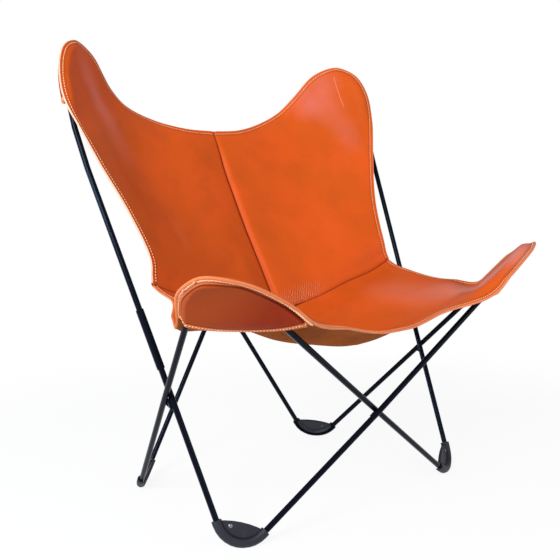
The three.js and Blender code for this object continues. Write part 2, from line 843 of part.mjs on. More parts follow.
// Shares of a panel's width or height, kept clear of the seams it is sewn along.
const backUShares = [0, 0.08, 0.17, 0.26, 0.35, 0.44, 0.53, 0.62, 0.7, 0.78, 0.85, 0.91, 0.96, 1];
const backVShares = [
  0, 0.04, 0.08, 0.13, 0.18, 0.23, 0.28, 0.33, 0.38, 0.43, 0.48, 0.53, 0.59, 0.65, 0.71, 0.77, 0.83, 0.89,
  0.95, 1,
];
const topLength = topEdge.getLength();
const seamLength = seatSeam.getLength();
const backGrid = backVShares.map((vShare) =>
  backUShares.map((uShare) => {
    const width = THREE.MathUtils.lerp(topLength, seamLength, vShare);
    const height = THREE.MathUtils.lerp(centreLength, backSideLength, uShare);
    const u = THREE.MathUtils.lerp(seamInset / width, 1, uShare);
    const v = THREE.MathUtils.lerp(0, 1 - seamInset / height, vShare);
    return backSurface(u, v);
  }),
);
addBothSides("back_panel", backGrid, leatherGeometry, saddleLeather);

// The seat is one panel across the whole width: u runs from the sitter's right to their left.
function acrossBoth(half) {
  return {
    getPointAt(u) {
      const point = half.getPointAt(Math.abs(2 * u - 1));
      return u < 0.5 ? mirrored(point) : point;
    },
  };
}
const seatPatch = patch(
  acrossBoth(seatSeam), acrossBoth(hemEdge),
  { getPointAt: (v) => mirrored(seatSideEdge.getPointAt(v)) }, seatSideEdge,
);
const seatSag = seatLowestHeight - seatPatch(0.5, 0.5).z;
const hemPoints = hemEdge.getSpacedPoints(120);
function distanceTo(points, place) {
  return Math.min(...points.map((point) => point.distanceTo(place)));
}

// The hem of a front corner rolls down over the rod behind it, and the side edge less and less.
const tipPoints = seatSideEdge
  .getSpacedPoints(120)
  .map((point) => ({ point, share: 1 - smooth(point.distanceTo(frontTip) / tipDroopRun) }))
  .filter(({ share }) => share > 0);
const droopPoints = [...tipPoints, ...hemPoints.map((point) => ({ point, share: 1 }))];
function droop(point) {
  const reaches = droopPoints.map((place) => place.point.distanceTo(point));
  const closest = Math.min(...reaches);
  const { share } = droopPoints[reaches.indexOf(closest)];
  const near = 1 - smooth(closest / hemDroopWidth);
  const outer = smooth((point.x / frontTip.x - hemDroopStartShare) / hemDroopSpreadShare);
  return point.addScaledVector(frontWing.face, -hemDroop * near * outer * share);
}

function seatSurface(u, v) {
  const plain = seatPatch(u, v);
  plain.z += seatSag * Math.sin(Math.PI * u) * Math.sin(Math.PI * v);
  const onLeft = u < 0.5 ? mirrored(plain) : plain;
  const droopy = droop(frontWing.settle(onLeft));
  return u < 0.5 ? mirrored(droopy) : droopy;
}
const seatHalfShares = [0, 0.1, 0.2, 0.3, 0.4, 0.5, 0.59, 0.68, 0.76, 0.84, 0.91, 0.96, 1];
const seatUShares = [
  ...seatHalfShares.slice(1).reverse().map((share) => (1 - share) / 2),
  ...seatHalfShares.map((share) => (1 + share) / 2),
];
const seatVShares = [
  0, 0.07, 0.15, 0.23, 0.31, 0.39, 0.47, 0.55, 0.63, 0.71, 0.79, 0.86, 0.92, 0.96, 0.98, 1,
];
const seatMiddleLength = crotch.distanceTo(hemCentre);
const seatSideLength = seatSideEdge.getLength();
const seatGrid = seatVShares.map((vShare) =>
  seatUShares.map((uShare) => {
    const length = THREE.MathUtils.lerp(seatMiddleLength, seatSideLength, Math.abs(2 * uShare - 1));
    return seatSurface(uShare, THREE.MathUtils.lerp(seamInset / length, 1, vShare));
  }),
);
addPiece("seat_panel", leatherGeometry(seatGrid), saddleLeather);

// Pockets: each hangs behind its wing between two of the leather's edges, close to the face along the
// edges and as deep as the rod needs further in.
const pocketRowShares = [0, 0.06, 0.13, 0.22, 0.32, 0.42, 0.52, 0.63, 0.75, 0.88, 1];
const pocketColumnShares = [0, 0.03, 0.07, 0.15, 0.32, 0.5, 0.68, 0.85, 0.93, 0.97, 1];
function pocketGrid(hoop, side, front, spreadShare, finish) {
  const seamSpacing = (1 + spreadShare) * leatherThickness + clearance;
  const edges = [side, front].flatMap((edge) => edge.curve.getSpacedPoints(120));
  const placeOn = (edge, row) => {
    const run = (edge.run * row) / edge.curve.getLength();
    return hoop.shift(edge.curve.getPointAt(edge.fromStart ? run : 1 - run), -1);
  };
  return pocketRowShares.map((row) =>
    pocketColumnShares.map((column) => {
      const base = mix(placeOn(side, row), placeOn(row > 0 ? front : side, row), column);
      const inside = distanceTo(edges, hoop.shift(base, 1)) - pocketSeamWidth;
      const gap = THREE.MathUtils.lerp(seamSpacing, pocketDepth, smooth(inside / pocketWrapWidth));
      return hoop.shift(finish(base).addScaledVector(hoop.face, -gap), 1);
    }),
  );
}
const backPocket = pocketGrid(
  backWing,
  { curve: backSideEdge, run: backPocketSideRun, fromStart: true },
  { curve: topEdge, run: backPocketTopRun, fromStart: false },
  backSeamSpreadShare,
  (point) => point,
);
const frontPocket = pocketGrid(
  frontWing,
  { curve: seatSideEdge, run: frontPocketSideRun, fromStart: false },
  { curve: hemEdge, run: frontPocketHemRun, fromStart: false },
  frontSeamSpreadShare,
  droop,
);
addBothSides("back_pocket", backPocket, leatherGeometry, saddleLeather);
addBothSides("front_pocket", frontPocket, leatherGeometry, saddleLeather);

// Backing strips under the seams, each from its own grid of points on the leather.
function stripGeometry(grid) {
  const normals = gridNormals(grid);
  const front = leatherThickness / 2 + seamStripGap;
  return sheetGeometry(
    offsetGrid(grid, normals, -front), offsetGrid(grid, normals, -front - seamStripThickness),
  );
}

const stripColumnShares = [-1, -0.5, 0, 0.5, 1];
const stripHalf = seamStripWidth / 2;
const centreStripShares = [0.01, 0.08, 0.16, 0.25, 0.34, 0.43, 0.52, 0.61, 0.7, 0.79, 0.88, 0.95];
const centreStrip = centreStripShares.map((v) =>
  stripColumnShares.map((column) => {
    const point = backSurface((Math.abs(column) * stripHalf) / topLength, v);
    return column < 0 ? mirrored(point) : point;
  }),
);
addPiece("centre_seam_strip", stripGeometry(centreStrip), suedeLeather);

const seatStripShares = [0.01, 0.1, 0.2, 0.3, 0.4, 0.5, 0.6, 0.7, 0.8, 0.9, 0.95];
const seatStrip = seatStripShares.map((u) =>
  stripColumnShares.map((column) => {
    const backHeight = THREE.MathUtils.lerp(centreLength, backSideLength, u);
    const seatLength = THREE.MathUtils.lerp(seatMiddleLength, seatSideLength, u);
    return column < 0
      ? backSurface(u, 1 + (column * stripHalf) / backHeight)
      : seatSurface((1 + u) / 2, (column * stripHalf) / seatLength);
  }),
);
addBothSides("seat_seam_strip", seatStrip, stripGeometry, suedeLeather);

// The origin is on the floor, under the middle of the whole chair.
const extent = new THREE.Box3().setFromObject(chair, true);
chair.position.set(-(extent.min.x + extent.max.x) / 2, -(extent.min.y + extent.max.y) / 2, 0);

export default chair;
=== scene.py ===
"""The look of the butterfly sling chair: leather sling, stitching, steel rod frame and glides."""

import bmesh
import bpy
import numpy as np
from mathutils import Matrix, Vector
from mathutils.bvhtree import BVHTree
from mathutils.kdtree import KDTree


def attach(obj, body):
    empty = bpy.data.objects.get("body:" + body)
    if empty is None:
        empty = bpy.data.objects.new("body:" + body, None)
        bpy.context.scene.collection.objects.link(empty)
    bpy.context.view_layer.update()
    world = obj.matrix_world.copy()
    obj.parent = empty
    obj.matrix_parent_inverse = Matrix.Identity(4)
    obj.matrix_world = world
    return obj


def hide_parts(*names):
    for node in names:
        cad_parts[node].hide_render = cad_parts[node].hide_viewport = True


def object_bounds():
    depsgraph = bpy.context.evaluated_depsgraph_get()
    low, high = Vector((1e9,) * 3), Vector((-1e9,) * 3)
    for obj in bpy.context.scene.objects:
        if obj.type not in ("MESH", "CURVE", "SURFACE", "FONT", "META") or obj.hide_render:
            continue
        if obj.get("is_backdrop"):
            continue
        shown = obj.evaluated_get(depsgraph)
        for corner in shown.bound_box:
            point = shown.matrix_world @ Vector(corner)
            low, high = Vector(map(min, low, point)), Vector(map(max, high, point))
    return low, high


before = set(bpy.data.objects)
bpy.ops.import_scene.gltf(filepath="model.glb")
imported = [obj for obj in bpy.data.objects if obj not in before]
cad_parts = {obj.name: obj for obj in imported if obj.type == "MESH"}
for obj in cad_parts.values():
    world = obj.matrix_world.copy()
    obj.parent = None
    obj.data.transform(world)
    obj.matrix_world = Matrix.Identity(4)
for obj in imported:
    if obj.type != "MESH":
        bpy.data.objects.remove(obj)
cad_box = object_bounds()

# Camera, where the photograph was taken from

CAMERA_PLACE = Vector((-1.1163, -1.2517, 0.6252))
CAMERA_AHEAD = Vector((0.64381, 0.75637, -0.11577))
CAMERA_UP = Vector((0.08863, 0.07657, 0.99312))
LENS_MM = 53.39
LENS_SHIFT = -0.0007


def place_camera():
    lens = bpy.data.cameras.new("camera")
    lens.sensor_width = 36
    lens.lens = LENS_MM
    lens.shift_x = LENS_SHIFT
    camera = bpy.data.objects.new("camera", lens)
    ahead = CAMERA_AHEAD.normalized()
    right = ahead.cross(CAMERA_UP).normalized()
    turn = Matrix((right, right.cross(ahead), -ahead)).transposed()
    camera.matrix_world = Matrix.Translation(CAMERA_PLACE) @ turn.to_4x4()
    bpy.context.scene.collection.objects.link(camera)
    bpy.context.scene.camera = camera


place_camera()

# Finishes


class Mask:
    """A number from a node. Sums and products of masks add Math nodes."""

    def __init__(self, finish, socket):
        self.finish = finish
        self.socket = socket

    def math(self, operation, *others):
        return self.finish.node("ShaderNodeMath", {"operation": operation}, [self, *others])

    def __add__(self, other):
        return self.math("ADD", other)

    def __radd__(self, other):
        return self.math("ADD", other)

    def __mul__(self, other):
        return self.math("MULTIPLY", other)

    def __sub__(self, other):
        return self.math("SUBTRACT", other)

    def __rsub__(self, other):
        return self.finish.node("ShaderNodeMath", {"operation": "SUBTRACT"}, [other, self])


class Finish:
    """A material for one surface of the chair, and the one way to add a node to it."""

    def __init__(self, name):
        self.material = bpy.data.materials.new(name)
        self.material.use_nodes = True
        self.tree = self.material.node_tree
        self.tree.nodes.clear()

    def node(self, kind, settings, values, output=0):
        made = self.tree.nodes.new(kind)
        for name, value in settings.items():
            if name == "stops":
                ramp = made.color_ramp
                while len(ramp.elements) < len(value):
                    ramp.elements.new(0.5)
                for element, (position, colour) in zip(ramp.elements, value):
                    element.position = position
                    element.color = (*colour, 1)
            else:
                setattr(made, name, value)
        pairs = values.items() if isinstance(values, dict) else enumerate(values)
        for key, value in pairs:
            if isinstance(value, Mask):
                self.tree.links.new(value.socket, made.inputs[key])
            elif value is not None:
                made.inputs[key].default_value = value
        return Mask(self, made.outputs[output]) if len(made.outputs) else None

    def place(self):
        return self.node("ShaderNodeTexCoord", {}, {}, "Object")

    def attribute(self, name):
        return self.node("ShaderNodeAttribute", {"attribute_name": name}, {}, "Fac")

    def flat_place(self):
        return self.node("ShaderNodeUVMap", {"uv_map": "cut"}, {})

    def split(self, vector):
        parts = self.tree.nodes.new("ShaderNodeSeparateXYZ")
        self.tree.links.new(vector.socket, parts.inputs[0])
        return [Mask(self, parts.outputs[i]) for i in range(3)]

    def noise(self, place, scale, detail=2, roughness=0.5, output="Fac"):
        values = {"Vector": place, "Scale": scale, "Detail": detail, "Roughness": roughness}
        return self.node("ShaderNodeTexNoise", {}, values, output)

    def cells(self, place, scale):
        return self.node("ShaderNodeTexVoronoi", {}, {"Vector": place, "Scale": scale}, "Distance")

    def stretched(self, place, scale):
        return self.node("ShaderNodeMapping", {}, {"Vector": place, "Scale": scale})

    def wobbled(self, place, scale, reach):
        """Places moved about by up to half the reach, for a form with a ragged outline."""
        shift = self.noise(place, scale, 3, 0.6, "Color")
        shift = self.node("ShaderNodeVectorMath", {"operation": "SUBTRACT"}, [shift, (0.5, 0.5, 0.5)])
        return self.node(
            "ShaderNodeVectorMath", {"operation": "MULTIPLY_ADD"}, [shift, (reach,) * 3, place]
        )

    def between(self, value, low, high, start=0.0, end=1.0):
        """Start where value is at low, end where it is at high, and a soft step in between."""
        values = {"Value": value, "From Min": low, "From Max": high, "To Min": start, "To Max": end}
        return self.node("ShaderNodeMapRange", {"interpolation_type": "SMOOTHSTEP"}, values)

    def ridge(self, value, middle, half):
        """One where value is at the middle, and none at half a width to either side."""
        off = (value - middle).math("ABSOLUTE")
        return self.between(off, 0.0, half, 1.0, 0.0)

    def mixed(self, share, first, second, blend="MIX"):
        settings = {"data_type": "RGBA", "blend_type": blend}
        colours = [c if isinstance(c, Mask) else (*c, 1) for c in (first, second)]
        return self.node("ShaderNodeMix", settings, {0: share, 6: colours[0], 7: colours[1]}, 2)

    def bump(self, height, distance, strength=1.0, under=None):
        values = {"Height": height, "Distance": distance, "Strength": strength, "Normal": under}
        return self.node("ShaderNodeBump", {}, values)

    def surface(self, **values):
        named = {key.replace("_", " "): value for key, value in values.items()}
        if isinstance(named["Base Color"], tuple):
            named["Base Color"] = (*named["Base Color"], 1)
        shader = self.node("ShaderNodeBsdfPrincipled", {}, named)
        self.node("ShaderNodeOutputMaterial", {}, {"Surface": shader})
        return self.material


SEAM_INSET = 0.0078
SEAM_GROOVE = 0.0015
POCKET_STITCH = 0.0022
POCKET_CREASE = 0.0088
# Colour of the painted sheen: a pale pink where reflected light is painted on the leather
PAINTED_SHEEN_TONE = (0.68, 0.17, 0.13)
PAINTED_SEAM_SHADE = (0.27, 0.028, 0.005)
PAINTED_SEAM_EDGE_SHADE = (0.3, 0.03, 0.006)
SCAR_TONE = (0.85, 0.3, 0.18)
CREST_HIGHLIGHT_TONE = (0.9, 0.3, 0.17)
HEM_TONE = (0.62, 0.16, 0.055)
POCKET_OUTER_TONE = (0.4, 0.075, 0.013)
# Places where a sheen of reflected light is painted on the leather: middle, radius and amount
PAINTED_SHEENS = (
    ((-0.338, 0.245, 0.862), 0.045, 0.35), ((-0.322, 0.25, 0.83), 0.045, 0.5),
    ((-0.306, 0.25, 0.795), 0.046, 0.55), ((-0.292, 0.24, 0.76), 0.046, 0.5),
    ((-0.275, 0.225, 0.725), 0.05, 0.3), ((-0.262, 0.21, 0.69), 0.05, 0.15),
    ((0.325, 0.25, 0.865), 0.05, 0.35), ((0.3, 0.262, 0.838), 0.06, 0.6),
    ((0.268, 0.28, 0.806), 0.055, 0.5), ((0.318, 0.24, 0.8), 0.06, 0.5),
    ((0.335, 0.205, 0.755), 0.055, 0.4), ((0.34, 0.185, 0.715), 0.045, 0.2),
    ((0.22, -0.04, 0.39), 0.08, 0.25), ((0.26, -0.11, 0.385), 0.09, 0.45),
    ((0.31, -0.17, 0.39), 0.09, 0.75), ((0.32, -0.24, 0.43), 0.08, 0.9),
    ((0.34, -0.28, 0.475), 0.07, 0.9), ((0.39, -0.26, 0.5), 0.07, 0.5),
)


def scarred(finish, place, drift, colour):
    """A faint pale scar that runs down one wing."""
    across, _, up = finish.split(place)
    scar = finish.ridge(across - (0.8863 - up) * 0.156 + drift * 0.003, 0.3387, 0.0016)
    scar = scar * finish.between(up, 0.8, 0.815) * finish.between(up, 0.875, 0.888, 1.0, 0.0)
    return finish.mixed(scar * 0.5, colour, SCAR_TONE)


def grain_leather(
    name, tan, red, brown, edge, worn_to=0.0016, stitched_at=SEAM_INSET, creased_at=None, wrinkles=None,
    sheen=PAINTED_SHEEN_TONE,
):
    """The smooth side of the saddle leather, with its pores, mottling, worn edge and stitch groove, and
    painted sheens of reflected light in places.

    Wrinkles are deep beside the seat's seam, or faint in one place on the back, with painted highlights on
    their crests and painted shade in their valleys. A pocket has a crease, with painted shade in it.
    """
    finish = Finish(name)
    place = finish.place()
    rim = finish.attribute("rim")
    seam = finish.attribute("seam")
    half = finish.split(place)[0].math("ABSOLUTE")
    clouds = finish.noise(place, 5.5, 3, 0.55)
    blotches = finish.noise(place, 17, 4, 0.6)
    specks = finish.noise(place, 160, 3, 0.7)
    colour = finish.mixed(finish.between(clouds, 0.36, 0.66), tan, red)
    colour = finish.mixed(finish.between(blotches, 0.42, 0.74) * 0.36, colour, brown)
    colour = finish.mixed(finish.between(specks, 0.5, 0.8) * 0.14, colour, brown)
    pale = tuple(min(1.0, 1.15 * part + 0.09) for part in red)
    # Painted shade: the stitch groove, a band just inside it, a pocket's crease and the line along its hem
    # are darkened towards this tone
    painted_shade = tuple(0.3 * part for part in brown)
    painted_sheen_mask = None
    if creased_at is None:
        # Painted sheen: the colour is mixed towards a pale pink in the listed spots, where reflected light
        # falls; the coat is a little thicker there too
        drifted = finish.wobbled(place, 26, 0.022)
        for centre, radius, amount in PAINTED_SHEENS:
            away = finish.node("ShaderNodeVectorMath", {"operation": "DISTANCE"}, [drifted, centre], 1)
            spot = finish.between(away, 0.0, radius, amount, 0.0)
            painted_sheen_mask = spot if painted_sheen_mask is None else painted_sheen_mask + spot
        painted_sheen_mask = painted_sheen_mask.math("MINIMUM", 1.0) * finish.between(blotches, 0.3, 0.75, 0.65, 1.0)
        colour = finish.mixed(painted_sheen_mask * 0.85, colour, sheen)
    else:
        outer = finish.between(half, 0.29, 0.4)
        colour = finish.mixed(outer * 0.55, colour, POCKET_OUTER_TONE)
    worn = finish.between(rim, 0.3 * worn_to, worn_to, 1.0, 0.0)
    beside = finish.ridge(rim, stitched_at + 0.0031, 0.0026)
    groove = finish.ridge(rim, stitched_at, SEAM_GROOVE)
    # Painted shade: right beside a seam the face is darkened to a deep red, for the shade in the seam's
    # groove
    crease = finish.between(seam, 0.0006, 0.0025, 1.0, 0.0)
    colour = finish.mixed(worn * 0.9, colour, edge)
    colour = finish.mixed(groove * 0.7, colour, painted_shade)
    colour = finish.mixed(beside * 0.3, colour, painted_shade)
    colour = finish.mixed(crease * 0.95, colour, PAINTED_SEAM_SHADE)
    pores = finish.cells(place, 620)
    fine = finish.noise(place, 1500, 2, 0.6)
    swell = finish.noise(place, 38, 4, 0.55)
    height = pores * 0.12 + fine * 0.05 + swell * 0.45 - groove * 1.0
    if creased_at is not None:
        pressed = finish.ridge(rim, creased_at, 0.0021)
        colour = finish.mixed(pressed * 0.75, colour, painted_shade)
        height = height - pressed * 1.4
        mouth = finish.attribute("mouth")
        hem = finish.between(mouth, 0.0102, 0.0114, 1.0, 0.0)
        colour = finish.mixed(hem * 0.8, colour, HEM_TONE)
        colour = finish.mixed(finish.ridge(mouth, 0.012, 0.0016) * 0.8, colour, painted_shade)
        band = finish.between(rim, creased_at - 0.0016, creased_at - 0.0004, 1.0, 0.0)
        colour = finish.mixed(band * 0.4, colour, edge)
    if wrinkles:
        flat = finish.flat_place()
        beside_seam, above, _ = finish.split(flat)
        drift = finish.noise(flat, 30, 3, 0.6)
        comb = (beside_seam * 1180 - above * 560 + drift * 15).math("SINE")
        if wrinkles == "deep":
            colour = scarred(finish, place, drift, colour)
            patch = finish.between(above + drift * 0.012, 0.024, 0.052, 1.0, 0.0)
            patch = patch * finish.between(beside_seam, 0.006, 0.018)
            patch = patch * finish.between(beside_seam, 0.09, 0.15, 1.0, 0.0)
            patch = patch * finish.between(finish.noise(flat, 75, 3, 0.6), 0.36, 0.58, 0.25, 1.0)
        else:
            patch = finish.ridge(beside_seam, 0.205, 0.026) * finish.ridge(above, 0.15, 0.07) * 0.35
        crest = finish.between(comb, 0.0, 0.9) * patch
        valley = finish.between(comb, -0.9, 0.0, 1.0, 0.0) * patch
        height = height + crest * 2.0 - valley * 1.5
        # Painted highlight on the wrinkles' crests and painted shade in their valleys; their relief is in
        # the bump too
        colour = finish.mixed(crest * 0.7, colour, CREST_HIGHLIGHT_TONE)
        colour = finish.mixed(valley * 0.7, colour, brown)
    normal = finish.bump(height, 0.0011, 0.55)
    rough = 0.4 + clouds * 0.1 + pores * 0.06 + groove * 0.2
    return finish.surface(
        Base_Color=colour, Roughness=rough, Normal=normal,
        Specular_IOR_Level=0.12 if creased_at is None else 0.06,
        Coat_Weight=worn * 0.5 if painted_sheen_mask is None else worn * 0.5 + painted_sheen_mask * 0.25, Coat_Roughness=0.3,
    )


def suede(name, fawn, umber, edge):
    """The rough flesh side of the leather, with its nap, loose fibres and smooth turned edge."""
    finish = Finish(name)
    place = finish.place()
    clouds = finish.noise(place, 9, 4, 0.6)
    nap = finish.noise(place, 420, 4, 0.75)
    fibres = finish.noise(finish.stretched(place, (900, 160, 700)), 1, 3, 0.6)
    turned = finish.between(finish.attribute("rim"), 0.0036, 0.0044, 1.0, 0.0)
    turned = turned * finish.attribute("edged")
    colour = finish.mixed(finish.between(clouds, 0.3, 0.7), fawn, umber)
    colour = finish.mixed(finish.between(nap, 0.35, 0.75) * 0.35, colour, umber)
    colour = finish.mixed(turned, colour, edge)
    normal = finish.bump((nap * 0.6 + fibres * 0.4) * (1 - turned), 0.0007, 0.7)
    return finish.surface(
        Base_Color=colour, Roughness=0.92 - turned * 0.5, Normal=normal, Specular_IOR_Level=0.1
    )


def cut_edge(name, pale, tan):
    """The raw edge of the leather where the knife went through, lightly waxed, with painted shade where it
    lies in a seam.
    """
    finish = Finish(name)
    place = finish.place()
    layers = finish.noise(place, 700, 3, 0.7)
    patches = finish.noise(place, 40, 3, 0.5)
    # Painted shade: where the edge lies in a seam it is darkened to a deep red
    sewn = finish.between(finish.attribute("seam"), 0.002, 0.005, 1.0, 0.0)
    colour = finish.mixed(finish.between(layers, 0.35, 0.7) * 0.5, pale, tan)
    colour = finish.mixed(finish.between(patches, 0.45, 0.7) * 0.3, colour, tan)
    colour = finish.mixed(sewn, colour, PAINTED_SEAM_EDGE_SHADE)
    normal = finish.bump(layers, 0.0005, 0.5)
    return finish.surface(
        Base_Color=colour, Roughness=0.5 + sewn * 0.4, Normal=normal, Specular_IOR_Level=0.2,
        Coat_Weight=(1 - sewn) * 0.4, Coat_Roughness=0.25,
    )


def waxed_thread(name, cream, shade):
    """Thick waxed thread, with its twist."""
    finish = Finish(name)
    place = finish.place()
    twist = finish.noise(place, 1900, 2, 0.5)
    dirt = finish.noise(place, 60, 3, 0.6)
    colour = finish.mixed(finish.between(dirt, 0.4, 0.7) * 0.6, cream, shade)
    colour = finish.mixed(finish.between(twist, 0.45, 0.6) * 0.25, colour, shade)
    return finish.surface(Base_Color=colour, Roughness=0.55, Normal=finish.bump(twist, 0.0003, 0.6))


def black_enamel(name, black, worn):
    """Satin black enamel on steel rod, with an orange-peel skin and a few rubbed places, and a painted
    blue tint to its reflections.
    """
    finish = Finish(name)
    place = finish.place()
    peel = finish.noise(place, 520, 2, 0.5)
    rubs = finish.noise(place, 34, 5, 0.7)
    scuffs = finish.noise(finish.stretched(place, (300, 300, 40)), 1, 3, 0.7)
    rubbed = finish.between(rubs, 0.62, 0.8) * finish.between(scuffs, 0.5, 0.7)
    colour = finish.mixed(rubbed * 0.5, black, worn)
    normal = finish.bump(peel, 0.0002, 0.35)
    # Painted reflection: the specular tint is blue and the black leans blue, standing in for blue light
    # that the rods reflect
    return finish.surface(
        Base_Color=colour, Roughness=0.13 + rubs * 0.06 + rubbed * 0.2, Normal=normal,
        Specular_IOR_Level=0.09, Specular_Tint=(0.42, 0.6, 1.0, 1.0),
    )


def moulded_plastic(name, black, dusty):
    """Matt black moulded plastic, dusty on its flats and scuffed where it slides."""
    finish = Finish(name)
    place = finish.place()
    spark = finish.noise(place, 900, 2, 0.6)
    dust = finish.noise(place, 70, 4, 0.7)
    _, _, height = finish.split(place)
    scuffed = finish.between(height, 0.0, 0.006, 1.0, 0.0) * finish.between(dust, 0.4, 0.6)
    colour = finish.mixed(finish.between(dust, 0.5, 0.8) * 0.4, black, dusty)
    colour = finish.mixed(scuffed * 0.6, colour, dusty)
    normal = finish.bump(spark, 0.0002, 0.4)
    return finish.surface(Base_Color=colour, Roughness=0.46 + dust * 0.16, Normal=normal)


def dull_zinc(name, grey, tarnish):
    """Dark zinc plating on a small screw."""
    finish = Finish(name)
    place = finish.place()
    haze = finish.noise(place, 420, 4, 0.7)
    colour = finish.mixed(finish.between(haze, 0.4, 0.7), grey, tarnish)
    normal = finish.bump(haze, 0.0002, 0.4)
    return finish.surface(Base_Color=colour, Metallic=1.0, Roughness=0.3 + haze * 0.2, Normal=normal)


TAN = (0.57, 0.085, 0.0065)
RUSSET = (0.65, 0.089, 0.0085)
CHESTNUT = (0.43, 0.066, 0.0065)
LIP_TONE = (0.66, 0.17, 0.055)
PALE_EDGE = (0.84, 0.43, 0.28)


def toned(colour, share):
    return tuple(share * part for part in colour)


# The right back panel's leather is toned darker than the left one's; the difference is painted shade on
# that half of the back
LEATHER = grain_leather(
    "leather", toned(TAN, 0.93), toned(RUSSET, 0.93), toned(CHESTNUT, 0.93), PALE_EDGE,
    wrinkles="faint",
)
BACK_LEATHER = grain_leather(
    "leather_wrinkled", toned(TAN, 1.05), toned(RUSSET, 1.05), toned(CHESTNUT, 1.12), PALE_EDGE,
    wrinkles="deep",
)
# The seat's painted sheen is a paler pink
SEAT_LEATHER = grain_leather(
    "leather_seat", TAN, RUSSET, CHESTNUT, LIP_TONE, worn_to=0.0042, sheen=(0.72, 0.23, 0.17)
)
# The pockets' leather is a darker red-brown than the sling's, partly as painted shade on the pockets'
# downward faces
POCKET_LEATHER = grain_leather(
    "leather_pocket",
    (0.265, 0.027, 0.0045), (0.265, 0.022, 0.0042), (0.2, 0.015, 0.003), (0.8, 0.22, 0.08),
    worn_to=0.0014, stitched_at=POCKET_STITCH, creased_at=POCKET_CREASE,
)
SUEDE = suede("suede", (0.34, 0.086, 0.014), (0.22, 0.052, 0.009), LIP_TONE)
CUT_EDGE = cut_edge("cut_edge", (0.84, 0.47, 0.34), (0.74, 0.31, 0.15))
LIP_EDGE = cut_edge("lip_edge", (0.82, 0.24, 0.085), (0.7, 0.16, 0.045))
POCKET_EDGE = cut_edge("pocket_edge", (0.95, 0.5, 0.32), (0.8, 0.34, 0.18))
THREAD = waxed_thread("thread", (0.95, 0.54, 0.3), (0.85, 0.38, 0.16))
ENAMEL = black_enamel("black_enamel", (0.0032, 0.0042, 0.0075), (0.03, 0.03, 0.036))
PLASTIC = moulded_plastic("black_plastic", (0.004, 0.005, 0.014), (0.02, 0.022, 0.038))
ZINC = dull_zinc("dark_zinc", (0.3, 0.3, 0.31), (0.16, 0.15, 0.15))

# The lines that the sling is cut and sewn along, for the sitter's left side, in metres


def soft_step(share):
    t = np.clip(share, 0, 1)
    return t * t * (3 - 2 * t)


class Line:
    """A smooth line through points, read by the share of its length.

    Where another line goes on from one of its ends, a point of that line bends both alike there.
    """

    def __init__(self, points, before=None, after=None, steps=48):
        points = np.array(points, float)
        before = 2 * points[0] - points[1] if before is None else before
        after = 2 * points[-1] - points[-2] if after is None else after
        knots = np.vstack((before, points, after))
        share = np.linspace(0, 1, steps, endpoint=False)[:, None]
        run = []
        for a, b, c, d in zip(knots, knots[1:], knots[2:], knots[3:]):
            first, middle, last = (np.linalg.norm(q - p) ** 0.5 for p, q in ((a, b), (b, c), (c, d)))
            leave = (b - a) / first - (c - a) / (first + middle) + (c - b) / middle
            reach = (c - b) / middle - (d - b) / (middle + last) + (d - c) / last
            leave, reach = leave * middle, reach * middle
            bend = 2 * b - 2 * c + leave + reach
            sway = 3 * c - 3 * b - 2 * leave - reach
            run.append(b + leave * share + sway * share**2 + bend * share**3)
        self.points = np.vstack((*run, points[-1:]))
        steps = np.linalg.norm(np.diff(self.points, axis=0), axis=1)
        self.run = np.concatenate(([0], np.cumsum(steps)))
        self.length = self.run[-1]

    def at(self, share):
        where = np.asarray(share, float) * self.length
        return np.stack([np.interp(where, self.run, axis) for axis in self.points.T], -1)


BACK_TIP = (0.3468, 0.2402, 0.9073)
ARMPIT = (0.319, 0.045, 0.446)
CROTCH = (0, 0.066, 0.356)
FRONT_TIP = (0.4275, -0.2525, 0.5023)
TOP_CENTRE = (0, 0.284, 0.743)
HEM_CENTRE = (0, -0.269, 0.358)
TOP_SHOULDER = (0.2999, 0.2727, 0.8863)
SIDE_SHOULDER = (0.3836, 0.2116, 0.8892)
FRONT_SHOULDER = (0.4314, -0.2027, 0.4631)
HEM_SHOULDER = (0.3687, -0.2858, 0.495)
top_edge = Line(
    [
        TOP_CENTRE, (0.0728, 0.288, 0.7471), (0.1457, 0.303, 0.7641), (0.2116, 0.307, 0.7933),
        (0.2535, 0.2976, 0.8322), TOP_SHOULDER, BACK_TIP,
    ],
    after=SIDE_SHOULDER,
)
back_side_edge = Line(
    [
        BACK_TIP, SIDE_SHOULDER, (0.4029, 0.1905, 0.8446), (0.4024, 0.1732, 0.7759),
        (0.3698, 0.1411, 0.6769), (0.3323, 0.0988, 0.578), (0.314, 0.0565, 0.4889), ARMPIT,
    ],
    before=TOP_SHOULDER, after=(0.3233, -0.0229, 0.422),
)
centre_seam = Line(
    [
        TOP_CENTRE, (0, 0.2622, 0.6985), (0, 0.2426, 0.654), (0, 0.2164, 0.6056), (0, 0.1717, 0.5263),
        (0, 0.1183, 0.4411), (0, 0.0911, 0.3966), CROTCH,
    ]
)
seat_seam = Line(
    [
        CROTCH, (0.0447, 0.0631, 0.3659), (0.1148, 0.058, 0.3821), (0.1914, 0.054, 0.4046),
        (0.2616, 0.049, 0.4226), ARMPIT,
    ]
)
seat_side_edge = Line(
    [
        ARMPIT, (0.3233, -0.0229, 0.422), (0.3637, -0.0827, 0.4048), (0.4018, -0.1546, 0.4125),
        FRONT_SHOULDER, FRONT_TIP,
    ],
    before=(0.314, 0.0565, 0.4889), after=HEM_SHOULDER,
)
hem_edge = Line(
    [
        HEM_CENTRE, (0.044, -0.2692, 0.3595), (0.1167, -0.2714, 0.3762), (0.2201, -0.293, 0.411),
        (0.2923, -0.2972, 0.4592), HEM_SHOULDER, FRONT_TIP,
    ],
    after=FRONT_SHOULDER,
)

LEATHER_THICKNESS = 0.0035
POCKET_THICKNESS = 0.0026
STRIP_THICKNESS = 0.0015
EDGE_EASE = 0.0009
STRIP_EASE = 0.0003
SEAM_GAP = 0.0033
FACE_OFFSET = 0.00975
SEAT_LOWEST = 0.318
SEAT_DEPTH = 0.36


